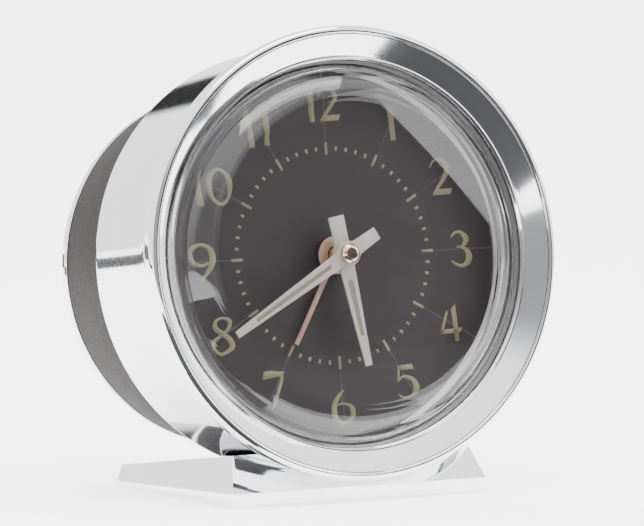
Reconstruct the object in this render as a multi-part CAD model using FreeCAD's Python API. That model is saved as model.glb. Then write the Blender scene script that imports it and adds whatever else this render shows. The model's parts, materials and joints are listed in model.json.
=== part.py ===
import FreeCAD, Part
import math
import os

# Wind-up bedside alarm clock: a round chromed case on a faceted wedge stand, with a spring-driven
# going train, a spring-driven alarm and all of its hands, knobs and keys.
# Units are millimetres. +Z is up, the dial faces -Y, and the origin is on the floor under the middle
# of the clock. The clock itself is modelled about its own axis, as (x, v, w): x to the right seen
# from the front, v up the dial, w forward out of the dial. clock_frame() then leans it back.

# ---------------------------------------------------------------- driving dimensions
LEAN_DEG = 6.4            # how far the dial leans back
DIAL_Y = -21.66           # centre of the dial's front face
DIAL_Z = 45.8

BEZEL_R = 43.1            # outer radius of the bezel
BEZEL_FRONT_W = 10.7      # its front edge
BEZEL_SEAM_W = 4.3        # where the bezel meets the band
LIP_R = 36.6              # bezel's inner lip
CRYSTAL_R = 36.2
CRYSTAL_WALL = 1.2
CRYSTAL_TOP_W = 13.4
DIAL_R = 38.5
DIAL_THICK = 0.8
SHEET = 0.8               # case sheet metal
BAND_FRONT_R = 41.1
BAND_REAR_R = 40.3
BAND_REAR_W = -20.0
SHELL_FRONT_R = 39.45
SHELL_REAR_R = 34.4
SHELL_REAR_W = -45.0
RIM_REAR_W = -49.0
COVER_R = 32.1
COVER_W = -46.4           # front face of the back cover
COVER_THICK = 1.0

STAND_HALF = 27.0         # half width of the stand
STAND_FRONT_Y = -32.04
STAND_REAR_Y = 17.96
SKIRT_FRONT_Z = 2.8       # height of the stand's upright edge
SKIRT_REAR_Z = 1.1
HIP_FRONT_Z = 9.6         # height of the stand's top, front and rear
HIP_REAR_Z = 4.2
HIP_IN = 2.0              # how far the side facets lean in
HIP_FRONT_IN = 4.1
HIP_REAR_IN = 0.8
PAD_THICK = 0.6
STAND_SCREW_X = (-6.0, 6.0)
STAND_SCREW_Y = -13.54
POST_ANGLES = (75, 180, 285)      # the back cover's posts, about the clock's axis
POST_REACH = 26.0

# movement: two round plates, levels given by their front faces
PLATE_R = 30.0
PLATE_THICK = 1.2
FRONT_PLATE_W = -4.8
BACK_PLATE_W = -26.0
PIVOT_R = 0.5
PIVOT_PLAY = 0.04         # radial play of every pivot and running fit
ARBOR_R = 0.8
SPRING_ARBOR_R = 1.4
SPRING_ARBOR_FRONT_R = 0.8
CENTRE_ARBOR_R = 0.75
SET_ARBOR_R = 1.0
PILLAR_R = 1.8
PILLAR_END_R = 1.0
PILLAR_REACH = 27.0
PILLAR_ANGLES = (60, 130, 250, 345)

# arbor places (x, v)
CENTRE = (0.0, 0.0)
TIME_SPRING_AT = (-12.32, -7.646)
ALARM_SPRING_AT = (12.32, -7.646)
ALARM_SET_AT = (0.0, -14.5)
BALANCE_AT = (20.5, 6.5)
BUTTON_AT = (0.0, 22.0)
REGULATOR_REACH = 9.5     # finger from the balance staff, and its direction
REGULATOR_DEG = 120.0
CLICK_PIVOT = (7.0, 22.0)         # radius and direction from the winding arbor
PALLET_PIN_R = 0.25
ESCAPE_GAP = PALLET_PIN_R + 0.12
IMPULSE_REACH = 1.6       # impulse pin from the balance staff
FORK_SLOT = 0.33          # half width of the lever's fork

# toothed wheels: teeth and module of every meshing pair
GREAT_T, CENTRE_PINION_T, GREAT_M = 48, 10, 0.5
ALARM_GREAT_T, ALARM_PINION_T = 40, 8
CENTRE_T, THIRD_PINION_T, CENTRE_M = 64, 8, 0.4
THIRD_T, FOURTH_PINION_T, THIRD_M = 60, 8, 0.35
FOURTH_T, ESCAPE_PINION_T, FOURTH_M = 60, 6, 0.3
CANNON_T, MINUTE_T, HOUR_PINION_T, HOUR_T, MOTION_M = 10, 30, 8, 32, 0.45
ALARM_WHEEL_T, ALARM_SET_T, ALARM_SET_M = 46, 12, 0.5
ESCAPE_T = 12
ESCAPE_TIP_R = 4.6
RATCHET_T = 24
RATCHET_TIP_R = 4.2
RATCHET_ROOT_R = 3.5
THIRD_ANGLE = 150.0       # direction from the centre arbor to the third arbor
FOURTH_ANGLE = 40.0       # from the third arbor to the fourth
ESCAPE_ANGLE = -5.0       # from the fourth arbor to the escape arbor
MINUTE_ANGLE = 215.0      # from the centre arbor to the minute wheel's post
ALARM_ESCAPE_ANGLE = -60.0
PALLET_REACH = 6.2        # escape arbor to pallet arbor
HAMMER_REACH = 5.2        # alarm escape arbor to hammer arbor

# hands, front faces
ALARM_HAND_W = 1.3
HOUR_HAND_W = 4.8
MINUTE_HAND_W = 6.6
HAND_THICK = 0.4
HAND_TIP_HALF = 0.7
MINUTE_HAND_TIP = 28.4
HOUR_HAND_TIP = 21.6
ALARM_HAND_TIP = 19.0
HAND_TAIL = 7.3
CANNON_TUBE_R = 1.2       # the three tubes that carry the hands, one inside the next
HOUR_PIPE_R = 1.7
ALARM_PIPE_R = 2.3
HOUR_HAND_DEG = 170.0     # clockwise from twelve
MINUTE_HAND_DEG = 240.0
ALARM_HAND_DEG = 210.0

parts = {}                # node name -> shape, all placed


# ---------------------------------------------------------------- helpers
def vec(x, y, z=0.0):
    return FreeCAD.Vector(x, y, z)


def clock_frame():
    """The clock's leaning frame: local X, Y, Z are x, v and w."""
    turn = FreeCAD.Rotation(vec(1, 0, 0), 90.0 - LEAN_DEG)
    return FreeCAD.Placement(vec(0, DIAL_Y, DIAL_Z), turn)


def add(name, shape, in_clock=True):
    """Keeps a finished piece under its node name."""
    shape = shape.removeSplitter()
    if in_clock:
        shape.Placement = clock_frame().multiply(shape.Placement)
    parts[name] = shape


def polar(radius, degrees, centre=(0.0, 0.0)):
    a = math.radians(degrees)
    return (centre[0] + radius * math.cos(a), centre[1] + radius * math.sin(a))


def direction(start, end):
    return math.degrees(math.atan2(end[1] - start[1], end[0] - start[0]))


def rod(radius, w0, w1, at=CENTRE):
    """A round bar from level w0 to level w1."""
    low, high = min(w0, w1), max(w0, w1)
    return Part.makeCylinder(radius, high - low, vec(at[0], at[1], low), vec(0, 0, 1))


def hole(radius, at=CENTRE):
    """A cutter that goes right through everything along w."""
    return rod(radius, 30, -80, at)


def ring(outer, inner, w0, w1, at=CENTRE):
    return rod(outer, w0, w1, at).cut(hole(inner, at))


def dome_middle(top_w, rim_r, rim_w):
    """A point half way out along a shallow dome, for drawing its arc."""
    sag = top_w - rim_w
    radius = (rim_r ** 2 + sag ** 2) / (2 * sag)
    return (rim_r / 2, top_w - radius + math.sqrt(radius ** 2 - rim_r ** 2 / 4))


def stepped(steps, at=CENTRE):
    """An arbor turned in steps: [(radius, w0, w1), ...]."""
    return fused([rod(r, w0, w1, at) for r, w0, w1 in steps])


def fused(shapes):
    first, rest = shapes[0], shapes[1:]
    return first.multiFuse(rest).removeSplitter() if rest else first


def outline_face(points):
    """A flat face from (x, y) points. A point given as ((mx, my), (x, y)) is reached by an arc."""
    edges = []
    flat = [p if not isinstance(p[0], tuple) else p[1] for p in points]
    for i, item in enumerate(points):
        start, end = flat[i - 1], flat[i]
        if math.dist(start, end) < 1e-9:
            continue
        if isinstance(item[0], tuple):
            edges.append(Part.Arc(vec(*start), vec(*item[0]), vec(*end)).toShape())
        else:
            edges.append(Part.LineSegment(vec(*start), vec(*end)).toShape())
    return Part.Face(Part.Wire(edges))


def plate(points, w0, w1):
    """A flat piece of the given outline between two levels."""
    low, high = min(w0, w1), max(w0, w1)
    face = outline_face(points)
    face.translate(vec(0, 0, low))
    return face.extrude(vec(0, 0, high - low))


def turned(profile):
    """A body of revolution about the clock's axis, from an outline of (radius, w) points."""
    face = outline_face(profile)
    face.rotate(vec(0, 0), vec(1, 0, 0), 90)
    return face.revolve(vec(0, 0), vec(0, 0, 1), 360)


def moved(shape, at=CENTRE, turn_deg=0.0):
    shape = shape.copy()
    shape.rotate(vec(0, 0), vec(0, 0, 1), turn_deg)
    shape.translate(vec(at[0], at[1]))
    return shape


def bar(start, end, width, w0, w1):
    """A flat bar with round ends between two points."""
    length, turn = math.dist(start, end), direction(start, end)
    half = width / 2
    body = plate([(0, -half), (length, -half), ((length + half, 0), (length, half)),
                  (0, half), ((-half, 0), (0, -half))], w0, w1)
    return moved(body, start, turn)


# ---------------------------------------------------------------- toothed wheels
def tooth_flank(teeth, module, tip_r, root_r, thin):
    """Half a tooth: (radius, half angle) pairs from root to tip, on an involute flank."""
    pitch_r = teeth * module / 2
    base_r = pitch_r * math.cos(math.radians(20))
    roll = math.tan(math.radians(20)) - math.radians(20)
    half_at_pitch = thin * math.pi / (2 * teeth)
    points = []
    start_r = max(base_r, root_r + 0.02)
    for i in range(4):
        radius = start_r + (tip_r - start_r) * i / 3
        lean = math.acos(min(1.0, base_r / radius))
        points.append((radius, half_at_pitch + roll - (math.tan(lean) - lean)))
    return [(root_r, points[0][1])] + points


def gear(teeth, module, w0, w1, at, phase_deg, bore=0.0, thin=0.8, tip=0.8, root=1.15):
    """A spur wheel with one tooth centred on phase_deg."""
    pitch_r = teeth * module / 2
    flank = tooth_flank(teeth, module, pitch_r + tip * module, pitch_r - root * module, thin)
    points = []
    for k in range(teeth):
        middle = math.radians(phase_deg) + 2 * math.pi * k / teeth
        for radius, half in flank:
            points.append((radius * math.cos(middle - half), radius * math.sin(middle - half)))
        for radius, half in reversed(flank):
            points.append((radius * math.cos(middle + half), radius * math.sin(middle + half)))
    shape = moved(plate(points, w0, w1), at)
    return shape.cut(hole(bore, at)) if bore else shape


def meshed_phase(teeth_a, phase_a, teeth_b, line_deg):
    """Where wheel b needs a tooth so that it meshes with wheel a, seen along line_deg from a to b."""
    return line_deg + 180 + (180 - teeth_a * (phase_a - line_deg)) / teeth_b


def crossings(count, inner, outer, arm, at, turn_deg):
    """Cutters for the windows between a wheel's arms."""
    windows = []
    for k in range(count):
        middle = turn_deg + 360 * k / count
        a_in = 180 / count - math.degrees(arm / 2 / inner)
        a_out = 180 / count - math.degrees(arm / 2 / outer)
        windows.append(moved(plate([
            polar(inner, -a_in), polar(outer, -a_out), (polar(outer, 0), polar(outer, a_out)),
            polar(inner, a_in), (polar(inner, 0), polar(inner, -a_in))], 0, -30), at, middle))
    return windows


def wheel(teeth, module, w0, w1, at, phase_deg, bore, arms=4, rim=1.6, hub=2.2, arm=1.2):
    """A brass wheel with arms, staked on its arbor."""
    blank = gear(teeth, module, w0, w1, at, phase_deg, bore)
    outer = teeth * module / 2 - rim
    return blank.cut(Part.makeCompound(crossings(arms, hub, outer, arm, at, 20.0)))


def pivoted(at, extra=()):
    """An arbor that turns in both plates, with extra (radius, w0, w1) steps on it."""
    front_in = FRONT_PLATE_W - PLATE_THICK - 0.1
    rear_in = BACK_PLATE_W + 0.1
    steps = [(PIVOT_R, FRONT_PLATE_W + 0.2, front_in), (ARBOR_R, front_in, rear_in),
             (PIVOT_R, rear_in, BACK_PLATE_W - PLATE_THICK - 0.2)]
    return stepped(steps + list(extra), at)


# ---------------------------------------------------------------- places worked out from the train
def centre_distance(a, b, module):
    return (a + b) * module / 2


THIRD_AT = polar(centre_distance(CENTRE_T, THIRD_PINION_T, CENTRE_M), THIRD_ANGLE)
FOURTH_AT = polar(centre_distance(THIRD_T, FOURTH_PINION_T, THIRD_M), FOURTH_ANGLE, THIRD_AT)
ESCAPE_AT = polar(centre_distance(FOURTH_T, ESCAPE_PINION_T, FOURTH_M), ESCAPE_ANGLE, FOURTH_AT)
MINUTE_AT = polar(centre_distance(CANNON_T, MINUTE_T, MOTION_M), MINUTE_ANGLE)
ALARM_ESCAPE_AT = polar(centre_distance(ALARM_GREAT_T, ALARM_PINION_T, GREAT_M),
                        ALARM_ESCAPE_ANGLE, ALARM_SPRING_AT)
PALLET_AT = polar(PALLET_REACH, direction(ESCAPE_AT, BALANCE_AT), ESCAPE_AT)
HAMMER_AT = polar(HAMMER_REACH, 20.0, ALARM_ESCAPE_AT)
PILLARS = [polar(PILLAR_REACH, angle) for angle in PILLAR_ANGLES]

# levels of the wheels, front face and rear face
CENTRE_LEVEL = (-7.2, -8.0)
THIRD_LEVEL = (-20.2, -21.0)
FOURTH_LEVEL = (-21.8, -22.4)
GREAT_LEVEL = (-18.2, -19.4)
ALARM_GREAT_LEVEL = (-8.8, -9.8)
ESCAPE_LEVEL = (-17.3, -17.9)
LEVER_LEVEL = (-18.5, -19.1)
BALANCE_LEVEL = (-20.4, -21.4)
HAIRSPRING_LEVEL = (-23.2, -23.7)
TIME_RATCHET_LEVEL = (-17.0, -17.8)
ALARM_RATCHET_LEVEL = (-10.3, -11.1)
TIME_SPRING_LEVEL = (-8.8, -16.2)
ALARM_SPRING_LEVEL = (-11.8, -19.0)
ALARM_ESCAPE_LEVEL = (-21.0, -21.8)
CANNON_LEVEL = (-3.4, -4.2)
HOUR_WHEEL_LEVEL = (-2.2, -3.0)
ALARM_WHEEL_LEVEL = (-1.0, -1.7)


# ---------------------------------------------------------------- case
def make_bezel():
    """Pressed chrome bezel: a rolled rim with a dished face running in to the crystal."""
    seam = BEZEL_SEAM_W
    front = BEZEL_FRONT_W
    rim = [(BEZEL_R - 1.7, seam), ((BEZEL_R - 0.35, front - 3.6), (BEZEL_R, front - 1.2)),
           ((BEZEL_R - 0.35, front - 0.3), (BEZEL_R - 1.1, front)), (BEZEL_R - 1.6, front - 0.2)]
    face = [(BEZEL_R - 1.7, front - 0.45), (37.4, 8.2), ((36.85, 7.8), (LIP_R, 7.0)), (LIP_R, seam + 0.15)]
    back = [(LIP_R + 1.0, seam + 0.15), (LIP_R + 1.0, 7.2), (BEZEL_R - 2.1, front - 1.6),
            (BEZEL_R - 1.4, front - 2.0), (BEZEL_R - 2.3, seam)]
    add("front_bezel", turned(rim + face + back))


def make_crystal():
    """Clear dome with an upright wall, a round shoulder and a flange under the bezel's lip."""
    inner_r, inner_top = CRYSTAL_R - CRYSTAL_WALL, CRYSTAL_TOP_W - CRYSTAL_WALL
    under_dome = [(0, inner_top), (dome_middle(inner_top, 31.2, 10.4), (31.2, 10.4)),
                  ((33.9, 9.2), (inner_r, 7.2))]
    flange = [(inner_r, 3.2), (39.4, 3.2), (39.4, 4.2), (CRYSTAL_R, 4.2)]
    outer_dome = [(CRYSTAL_R, 7.4), ((34.9, 10.3), (31.8, 11.6)),
                  (dome_middle(CRYSTAL_TOP_W, 31.8, 11.6), (0, CRYSTAL_TOP_W))]
    add("crystal", turned(under_dome + flange + outer_dome))


def make_retainer():
    """Light ring that stands the crystal off the dial."""
    add("crystal_retainer", turned([(35.3, 0.02), (39.9, 0.02), (39.9, 3.15), (36.0, 3.15), (35.3, 2.4)]))


def make_dial():
    plate_part = rod(DIAL_R, 0, -DIAL_THICK).cut(rod(2.6, 1, -2))
    feet = [rod(0.7, -DIAL_THICK, FRONT_PLATE_W, polar(25.0, a)) for a in (15, 135, 285)]
    add("dial", fused([plate_part] + feet))


def make_band():
    """Polished band with a flared front edge and a rounded rear edge."""
    front, rear = BEZEL_SEAM_W - 0.1, BAND_REAR_W
    profile = [(40.3, front), (BAND_FRONT_R + 0.5, front), (BAND_FRONT_R + 0.5, front - 0.5),
               ((BAND_FRONT_R + 0.12, front - 0.9), (BAND_FRONT_R, front - 2.2)),
               (BAND_REAR_R, rear + 1.0), ((BAND_REAR_R - 0.25, rear + 0.25), (BAND_REAR_R - 0.8, rear)),
               (BAND_REAR_R - 0.8, -14.6), (BAND_FRONT_R - SHEET, -14.0)]
    add("case_band", turned(profile))


def make_shell():
    """Tapered back shell, closed by an inturned flange. The hammer rings it."""
    step_r = SHELL_FRONT_R
    profile = [(step_r - SHEET, -15.0), (step_r, -15.0), (step_r, BAND_REAR_W - 0.3),
               (SHELL_REAR_R, SHELL_REAR_W), (30.5, SHELL_REAR_W), (30.5, SHELL_REAR_W + SHEET),
               (SHELL_REAR_R - SHEET - 0.1, SHELL_REAR_W + SHEET), (step_r - SHEET, BAND_REAR_W - 0.3)]
    add("back_shell", turned(profile))


def make_back_rim():
    """Chrome ring that closes the case behind the shell."""
    w = SHELL_REAR_W - 0.02
    profile = [(30.6, w), (SHELL_REAR_R + 0.1, w), (34.4, w - 1.2), (34.0, RIM_REAR_W + 1.0),
               ((33.75, RIM_REAR_W + 0.2), (33.0, RIM_REAR_W)), (32.4, RIM_REAR_W + 0.3),
               (COVER_R + 0.05, RIM_REAR_W + 0.8), (COVER_R + 0.05, COVER_W), (30.6, COVER_W)]
    add("back_rim", turned(profile))


def slot_cut(centre, reach, middle_deg, half_deg, width, w0, w1):
    """An arc slot about a centre."""
    inner, outer = reach - width / 2, reach + width / 2
    start, end = middle_deg - half_deg, middle_deg + half_deg
    return fused([
        moved(plate([polar(inner, start), polar(outer, start),
                     (polar(outer, middle_deg), polar(outer, end)), polar(inner, end),
                     (polar(inner, middle_deg), polar(inner, start))], w0, w1), centre),
        rod(width / 2, w0, w1, polar(reach, start, centre)),
        rod(width / 2, w0, w1, polar(reach, end, centre))])


def make_back_cover():
    rear = COVER_W - COVER_THICK
    body = rod(COVER_R, COVER_W, rear)
    holes = [rod(2.4, 0, -60, TIME_SPRING_AT), rod(2.4, 0, -60, ALARM_SPRING_AT),
             rod(1.6, 0, -60, CENTRE), rod(1.6, 0, -60, ALARM_SET_AT),
             rod(1.5 + PIVOT_PLAY, 0, -60, BUTTON_AT),
             slot_cut(BALANCE_AT, REGULATOR_REACH, REGULATOR_DEG, 24, 1.8, 0, -60)]
    holes += [rod(1.05, 0, -60, polar(POST_REACH, a)) for a in POST_ANGLES]
    groove = ring(30.4, 29.8, rear + 0.25, rear - 1)
    add("back_cover", body.cut(Part.makeCompound(holes + [groove])))


def slotted_screw(head_r, head_h, shank_r, length, head_w, at, turn_deg=30.0):
    """A round-headed screw that goes in forwards from the rear, head face at head_w."""
    dome = Part.makeSphere(head_r * 1.25, vec(0, 0, head_w - head_h + head_r * 1.25))
    head = rod(head_r, head_w, head_w - head_h).common(dome)
    slot = Part.makeBox(head_r * 3, 0.4, 0.45, vec(-head_r * 1.5, -0.2, head_w - head_h - 0.02))
    body = fused([head, rod(shank_r, head_w, head_w + length)]).cut(slot)
    return moved(body, at, turn_deg)


def make_cover_fixings():
    rear = COVER_W - COVER_THICK
    screws, posts = [], []
    for k, angle in enumerate(POST_ANGLES):
        at = polar(POST_REACH, angle)
        screws.append(slotted_screw(1.9, 1.1, 1.0, 6.0, rear - 0.01, at, 25 + 50 * k))
        post = rod(1.8, BACK_PLATE_W - PLATE_THICK, COVER_W + 0.01, at)
        posts.append(post.cut(rod(1.0, rear, COVER_W + 6.2, at)))
    add("cover_screws", Part.makeCompound(screws))
    add("cover_posts", Part.makeCompound(posts))


# ---------------------------------------------------------------- stand
def lean_body(radius, w0, w1, grow=0.0):
    """A round body along the clock's axis, placed in the clock's leaning frame."""
    body = rod(radius + grow, w0, w1)
    body.Placement = clock_frame().multiply(body.Placement)
    return body


def sliced(body, p, q, r):
    """Keeps what lies below the plane through three points, given counter-clockwise from outside."""
    normal = (q - p).cross(r - p)
    block = Part.makeBox(300, 300, 100, vec(-150, -150, 0))
    block.Placement = FreeCAD.Placement(p, FreeCAD.Rotation(vec(0, 0, 1), normal))
    return body.cut(block)


def make_stand():
    """Faceted wedge with a saddle for the band, and a recess below for the pad."""
    front, rear, half = STAND_FRONT_Y, STAND_REAR_Y, STAND_HALF
    body = Part.makeBox(2 * half, rear - front, 20, vec(-half, front, 0))
    inner = half - HIP_IN
    hip_front, hip_rear = front + HIP_FRONT_IN, rear - HIP_REAR_IN
    body = sliced(body, vec(-inner, hip_front, HIP_FRONT_Z), vec(inner, hip_front, HIP_FRONT_Z),
                  vec(0, hip_rear, HIP_REAR_Z))
    body = sliced(body, vec(-half, front, SKIRT_FRONT_Z), vec(half, front, SKIRT_FRONT_Z),
                  vec(0, hip_front, HIP_FRONT_Z))
    body = sliced(body, vec(half, rear, SKIRT_REAR_Z), vec(-half, rear, SKIRT_REAR_Z),
                  vec(0, hip_rear, HIP_REAR_Z))
    body = sliced(body, vec(half, front, SKIRT_FRONT_Z), vec(half, rear, SKIRT_REAR_Z),
                  vec(inner, hip_front, HIP_FRONT_Z))
    body = sliced(body, vec(-half, rear, SKIRT_REAR_Z), vec(-half, front, SKIRT_FRONT_Z),
                  vec(-inner, hip_front, HIP_FRONT_Z))
    saddle = turned([(0, 5), (BAND_FRONT_R + 0.62, 5), (BAND_FRONT_R + 0.62, 3.4),
                     (BAND_FRONT_R + 0.06, 1.9), (BAND_REAR_R + 0.08, BAND_REAR_W),
                     (BAND_REAR_R + 0.08, -60), (0, -60)])
    saddle.Placement = clock_frame().multiply(saddle.Placement)
    bezel_room = lean_body(BEZEL_R, BEZEL_SEAM_W - 0.3, 30, 0.35)
    recess = Part.makeBox(2 * half - 4, rear - front - 4, PAD_THICK, vec(2 - half, front + 2, 0))
    holes = [Part.makeCylinder(1.6, 30, vec(x, STAND_SCREW_Y, -1)) for x in STAND_SCREW_X]
    body = body.cut(Part.makeCompound([saddle, bezel_room, recess] + holes))
    add("base_stand", body, in_clock=False)
    pad = Part.makeBox(2 * half - 4.1, rear - front - 4.1, PAD_THICK - 0.02,
                       vec(2.05 - half, front + 2.05, 0))
    add("base_pad", pad, in_clock=False)


def make_stand_screws():
    """Screws that hold the stand to the band, with their heads under the pad."""
    screws = []
    for x in STAND_SCREW_X:
        screws.append(Part.makeCylinder(1.5, 2.55, vec(x, STAND_SCREW_Y, PAD_THICK)))
    band_hole = turned([(0, 5), (BAND_FRONT_R + 0.6, 5), (BAND_FRONT_R + 0.02, 1.9),
                        (BAND_REAR_R + 0.02, BAND_REAR_W), (0, BAND_REAR_W)])
    band_hole.Placement = clock_frame().multiply(band_hole.Placement)
    add("base_screws", Part.makeCompound([s.cut(band_hole) for s in screws]), in_clock=False)


# ---------------------------------------------------------------- movement frame
def movement_plate(front, spring_hole_r):
    """A round plate with a running hole for every arbor and a tight one for every pillar."""
    small = [THIRD_AT, FOURTH_AT, ESCAPE_AT, PALLET_AT, BALANCE_AT, ALARM_ESCAPE_AT, HAMMER_AT]
    running = [(at, PIVOT_R) for at in small]
    running += [(TIME_SPRING_AT, spring_hole_r), (ALARM_SPRING_AT, spring_hole_r),
                (CENTRE, CENTRE_ARBOR_R), (ALARM_SET_AT, SET_ARBOR_R)]
    holes = [hole(radius + PIVOT_PLAY, at) for at, radius in running]
    holes += [hole(PILLAR_END_R, at) for at in PILLARS]
    return rod(PLATE_R, front, front - PLATE_THICK).cut(Part.makeCompound(holes))


def make_plates():
    add("front_plate", movement_plate(FRONT_PLATE_W, SPRING_ARBOR_FRONT_R))
    add("back_plate", movement_plate(BACK_PLATE_W, SPRING_ARBOR_R))


def make_pillars():
    inner_front = FRONT_PLATE_W - PLATE_THICK
    rear = BACK_PLATE_W - PLATE_THICK
    pillars, nuts = [], []
    six = [polar(2.2, 60 * k) for k in range(6)]
    for at in PILLARS:
        pillars.append(stepped([(PILLAR_END_R, FRONT_PLATE_W, inner_front),
                                (PILLAR_R, inner_front, BACK_PLATE_W),
                                (PILLAR_END_R, BACK_PLATE_W, rear - 1.8)], at))
        nut = moved(plate(six, rear, rear - 1.5), at, 15)
        nuts.append(nut.cut(hole(PILLAR_END_R, at)))
    add("plate_pillars", Part.makeCompound(pillars))
    add("pillar_nuts", Part.makeCompound(nuts))


def spiral_strip(start_r, pitch, turns, thick, w0, w1, at, turn_deg=0.0):
    """A flat spring coiled in half turns about two centres half a pitch apart."""
    def half_turns(extra):
        edges, x = [], start_r + extra
        for k in range(2 * turns):
            radius = start_r + extra + k * pitch / 2
            centre_x = 0 if k % 2 == 0 else pitch / 2
            side = 1 if k % 2 == 0 else -1
            start = vec(centre_x + side * radius, 0)
            end = vec(centre_x - side * radius, 0)
            edges.append(Part.Arc(start, vec(centre_x, side * radius), end).toShape())
            x = centre_x - side * radius
        return edges, x
    inner, inner_end = half_turns(0)
    outer, outer_end = half_turns(thick)
    ends = [Part.LineSegment(vec(start_r, 0), vec(start_r + thick, 0)).toShape(),
            Part.LineSegment(vec(inner_end, 0), vec(outer_end, 0)).toShape()]
    face = Part.Face(Part.Wire(Part.__sortEdges__(inner + outer + ends)))
    low, high = min(w0, w1), max(w0, w1)
    face.translate(vec(0, 0, low))
    return moved(face.extrude(vec(0, 0, high - low)), at, turn_deg)


def make_springs():
    add("time_mainspring", spiral_strip(2.0, 0.84, 9, 0.3, *TIME_SPRING_LEVEL, TIME_SPRING_AT, 140))
    add("alarm_mainspring", spiral_strip(2.0, 0.84, 9, 0.3, *ALARM_SPRING_LEVEL, ALARM_SPRING_AT, 40))
    add("hairspring", spiral_strip(1.2, 0.42, 9, 0.1, *HAIRSPRING_LEVEL, BALANCE_AT, 200))


# ---------------------------------------------------------------- winding
def ratchet(w0, w1, at):
    """Winding ratchet: upright faces hold against the click, long slopes pass under it."""
    points = []
    for k in range(RATCHET_T):
        here = 90 + 360 * k / RATCHET_T
        points += [polar(RATCHET_ROOT_R, here), polar(RATCHET_TIP_R, here)]
    return moved(plate(points, w0, w1), at).cut(hole(SPRING_ARBOR_R, at))


def click(w0, w1, at):
    """Pawl that rests against a ratchet tooth, pivoted on the great wheel."""
    edge = [(3.62, 88.6), (4.45, 74), (4.55, 60), (4.75, 46), (5.5, 30), (5.6, 18), (7.6, 14),
            (8.0, 24), (6.6, 44), (5.9, 60), (5.5, 76), (4.75, 88.9)]
    pivot = polar(*CLICK_PIVOT, centre=at)
    body = moved(plate([polar(r, a) for r, a in edge], w0, w1), at)
    return body.cut(hole(0.5 + PIVOT_PLAY, pivot))


def key(hub_w, at, turn_deg):
    """Winding key: a round hub with two pierced wings in one plane."""
    top = hub_w - 11.0
    hub = stepped([(2.5, hub_w, hub_w - 5.0), (1.9, hub_w - 5.0, top + 1.0)])
    wings = []
    for side in (-1, 1):
        lobe = Part.makeCylinder(3.7, 1.5, vec(side * 4.2, 0.75, top + 3.7), vec(0, -1, 0))
        pierced = Part.makeCylinder(1.5, 3, vec(side * 4.6, 1.5, top + 3.7), vec(0, -1, 0))
        wings.append((lobe, pierced))
    web = Part.makeBox(8.4, 1.5, 4.6, vec(-4.2, -0.75, top + 1.9))
    body = fused([hub, web] + [w[0] for w in wings])
    for _, pierced in wings:
        body = body.cut(pierced)
    body = body.cut(rod(1.2, hub_w + 1, hub_w - 4.6))
    return moved(body, at, turn_deg)


def winding_arbor(at, spring_level):
    """Carries the mainspring's inner end, and the key on its rear end."""
    inner_front = FRONT_PLATE_W - PLATE_THICK
    rear_end = COVER_W - 6.6
    steps = [(SPRING_ARBOR_FRONT_R, FRONT_PLATE_W + 0.2, inner_front - 2.4),
             (SPRING_ARBOR_R, inner_front - 2.4, COVER_W - 1.6), (1.2, COVER_W - 1.6, rear_end)]
    front, rear = max(spring_level) - 1.5, min(spring_level) + 1.5
    hook = Part.makeBox(0.5, 0.5, front - rear, vec(at[0] + 1.25, at[1] - 0.25, rear))
    return fused([stepped(steps, at), hook])


def great_wheel(teeth, level, at, phase_deg, ratchet_level):
    """Runs freely on the winding arbor and carries the click on a pin."""
    window_r = teeth * GREAT_M / 2 - 1.6
    blank = gear(teeth, GREAT_M, *level, at, phase_deg, SPRING_ARBOR_R + PIVOT_PLAY)
    windows = crossings(5, 5.6, window_r, 2.0, at, CLICK_PIVOT[1] + 36)[:4]
    nearer = max(level) < max(ratchet_level)
    pin_end = max(ratchet_level) + 0.2 if nearer else min(ratchet_level) - 0.2
    pin = rod(0.5, min(level) if nearer else max(level), pin_end, polar(*CLICK_PIVOT, centre=at))
    return fused([blank.cut(Part.makeCompound(windows)), pin])


def make_winding():
    time_at, alarm_at = TIME_SPRING_AT, ALARM_SPRING_AT
    add("time_winding_arbor", winding_arbor(time_at, TIME_SPRING_LEVEL))
    add("alarm_winding_arbor", winding_arbor(alarm_at, ALARM_SPRING_LEVEL))
    add("time_ratchet", ratchet(*TIME_RATCHET_LEVEL, time_at))
    add("alarm_ratchet", ratchet(*ALARM_RATCHET_LEVEL, alarm_at))
    add("time_click", click(*TIME_RATCHET_LEVEL, time_at))
    add("alarm_click", click(*ALARM_RATCHET_LEVEL, alarm_at))
    add("time_great_wheel", great_wheel(GREAT_T, GREAT_LEVEL, time_at, PHASE["great"],
                                        TIME_RATCHET_LEVEL))
    add("alarm_great_wheel", great_wheel(ALARM_GREAT_T, ALARM_GREAT_LEVEL, alarm_at,
                                         PHASE["alarm_great"], ALARM_RATCHET_LEVEL))
    add("time_winding_key", key(COVER_W - 2.0, time_at, 60))
    add("alarm_winding_key", key(COVER_W - 2.0, alarm_at, -60))


# ---------------------------------------------------------------- train
PHASE = {}                # direction of one tooth of each wheel


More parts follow.
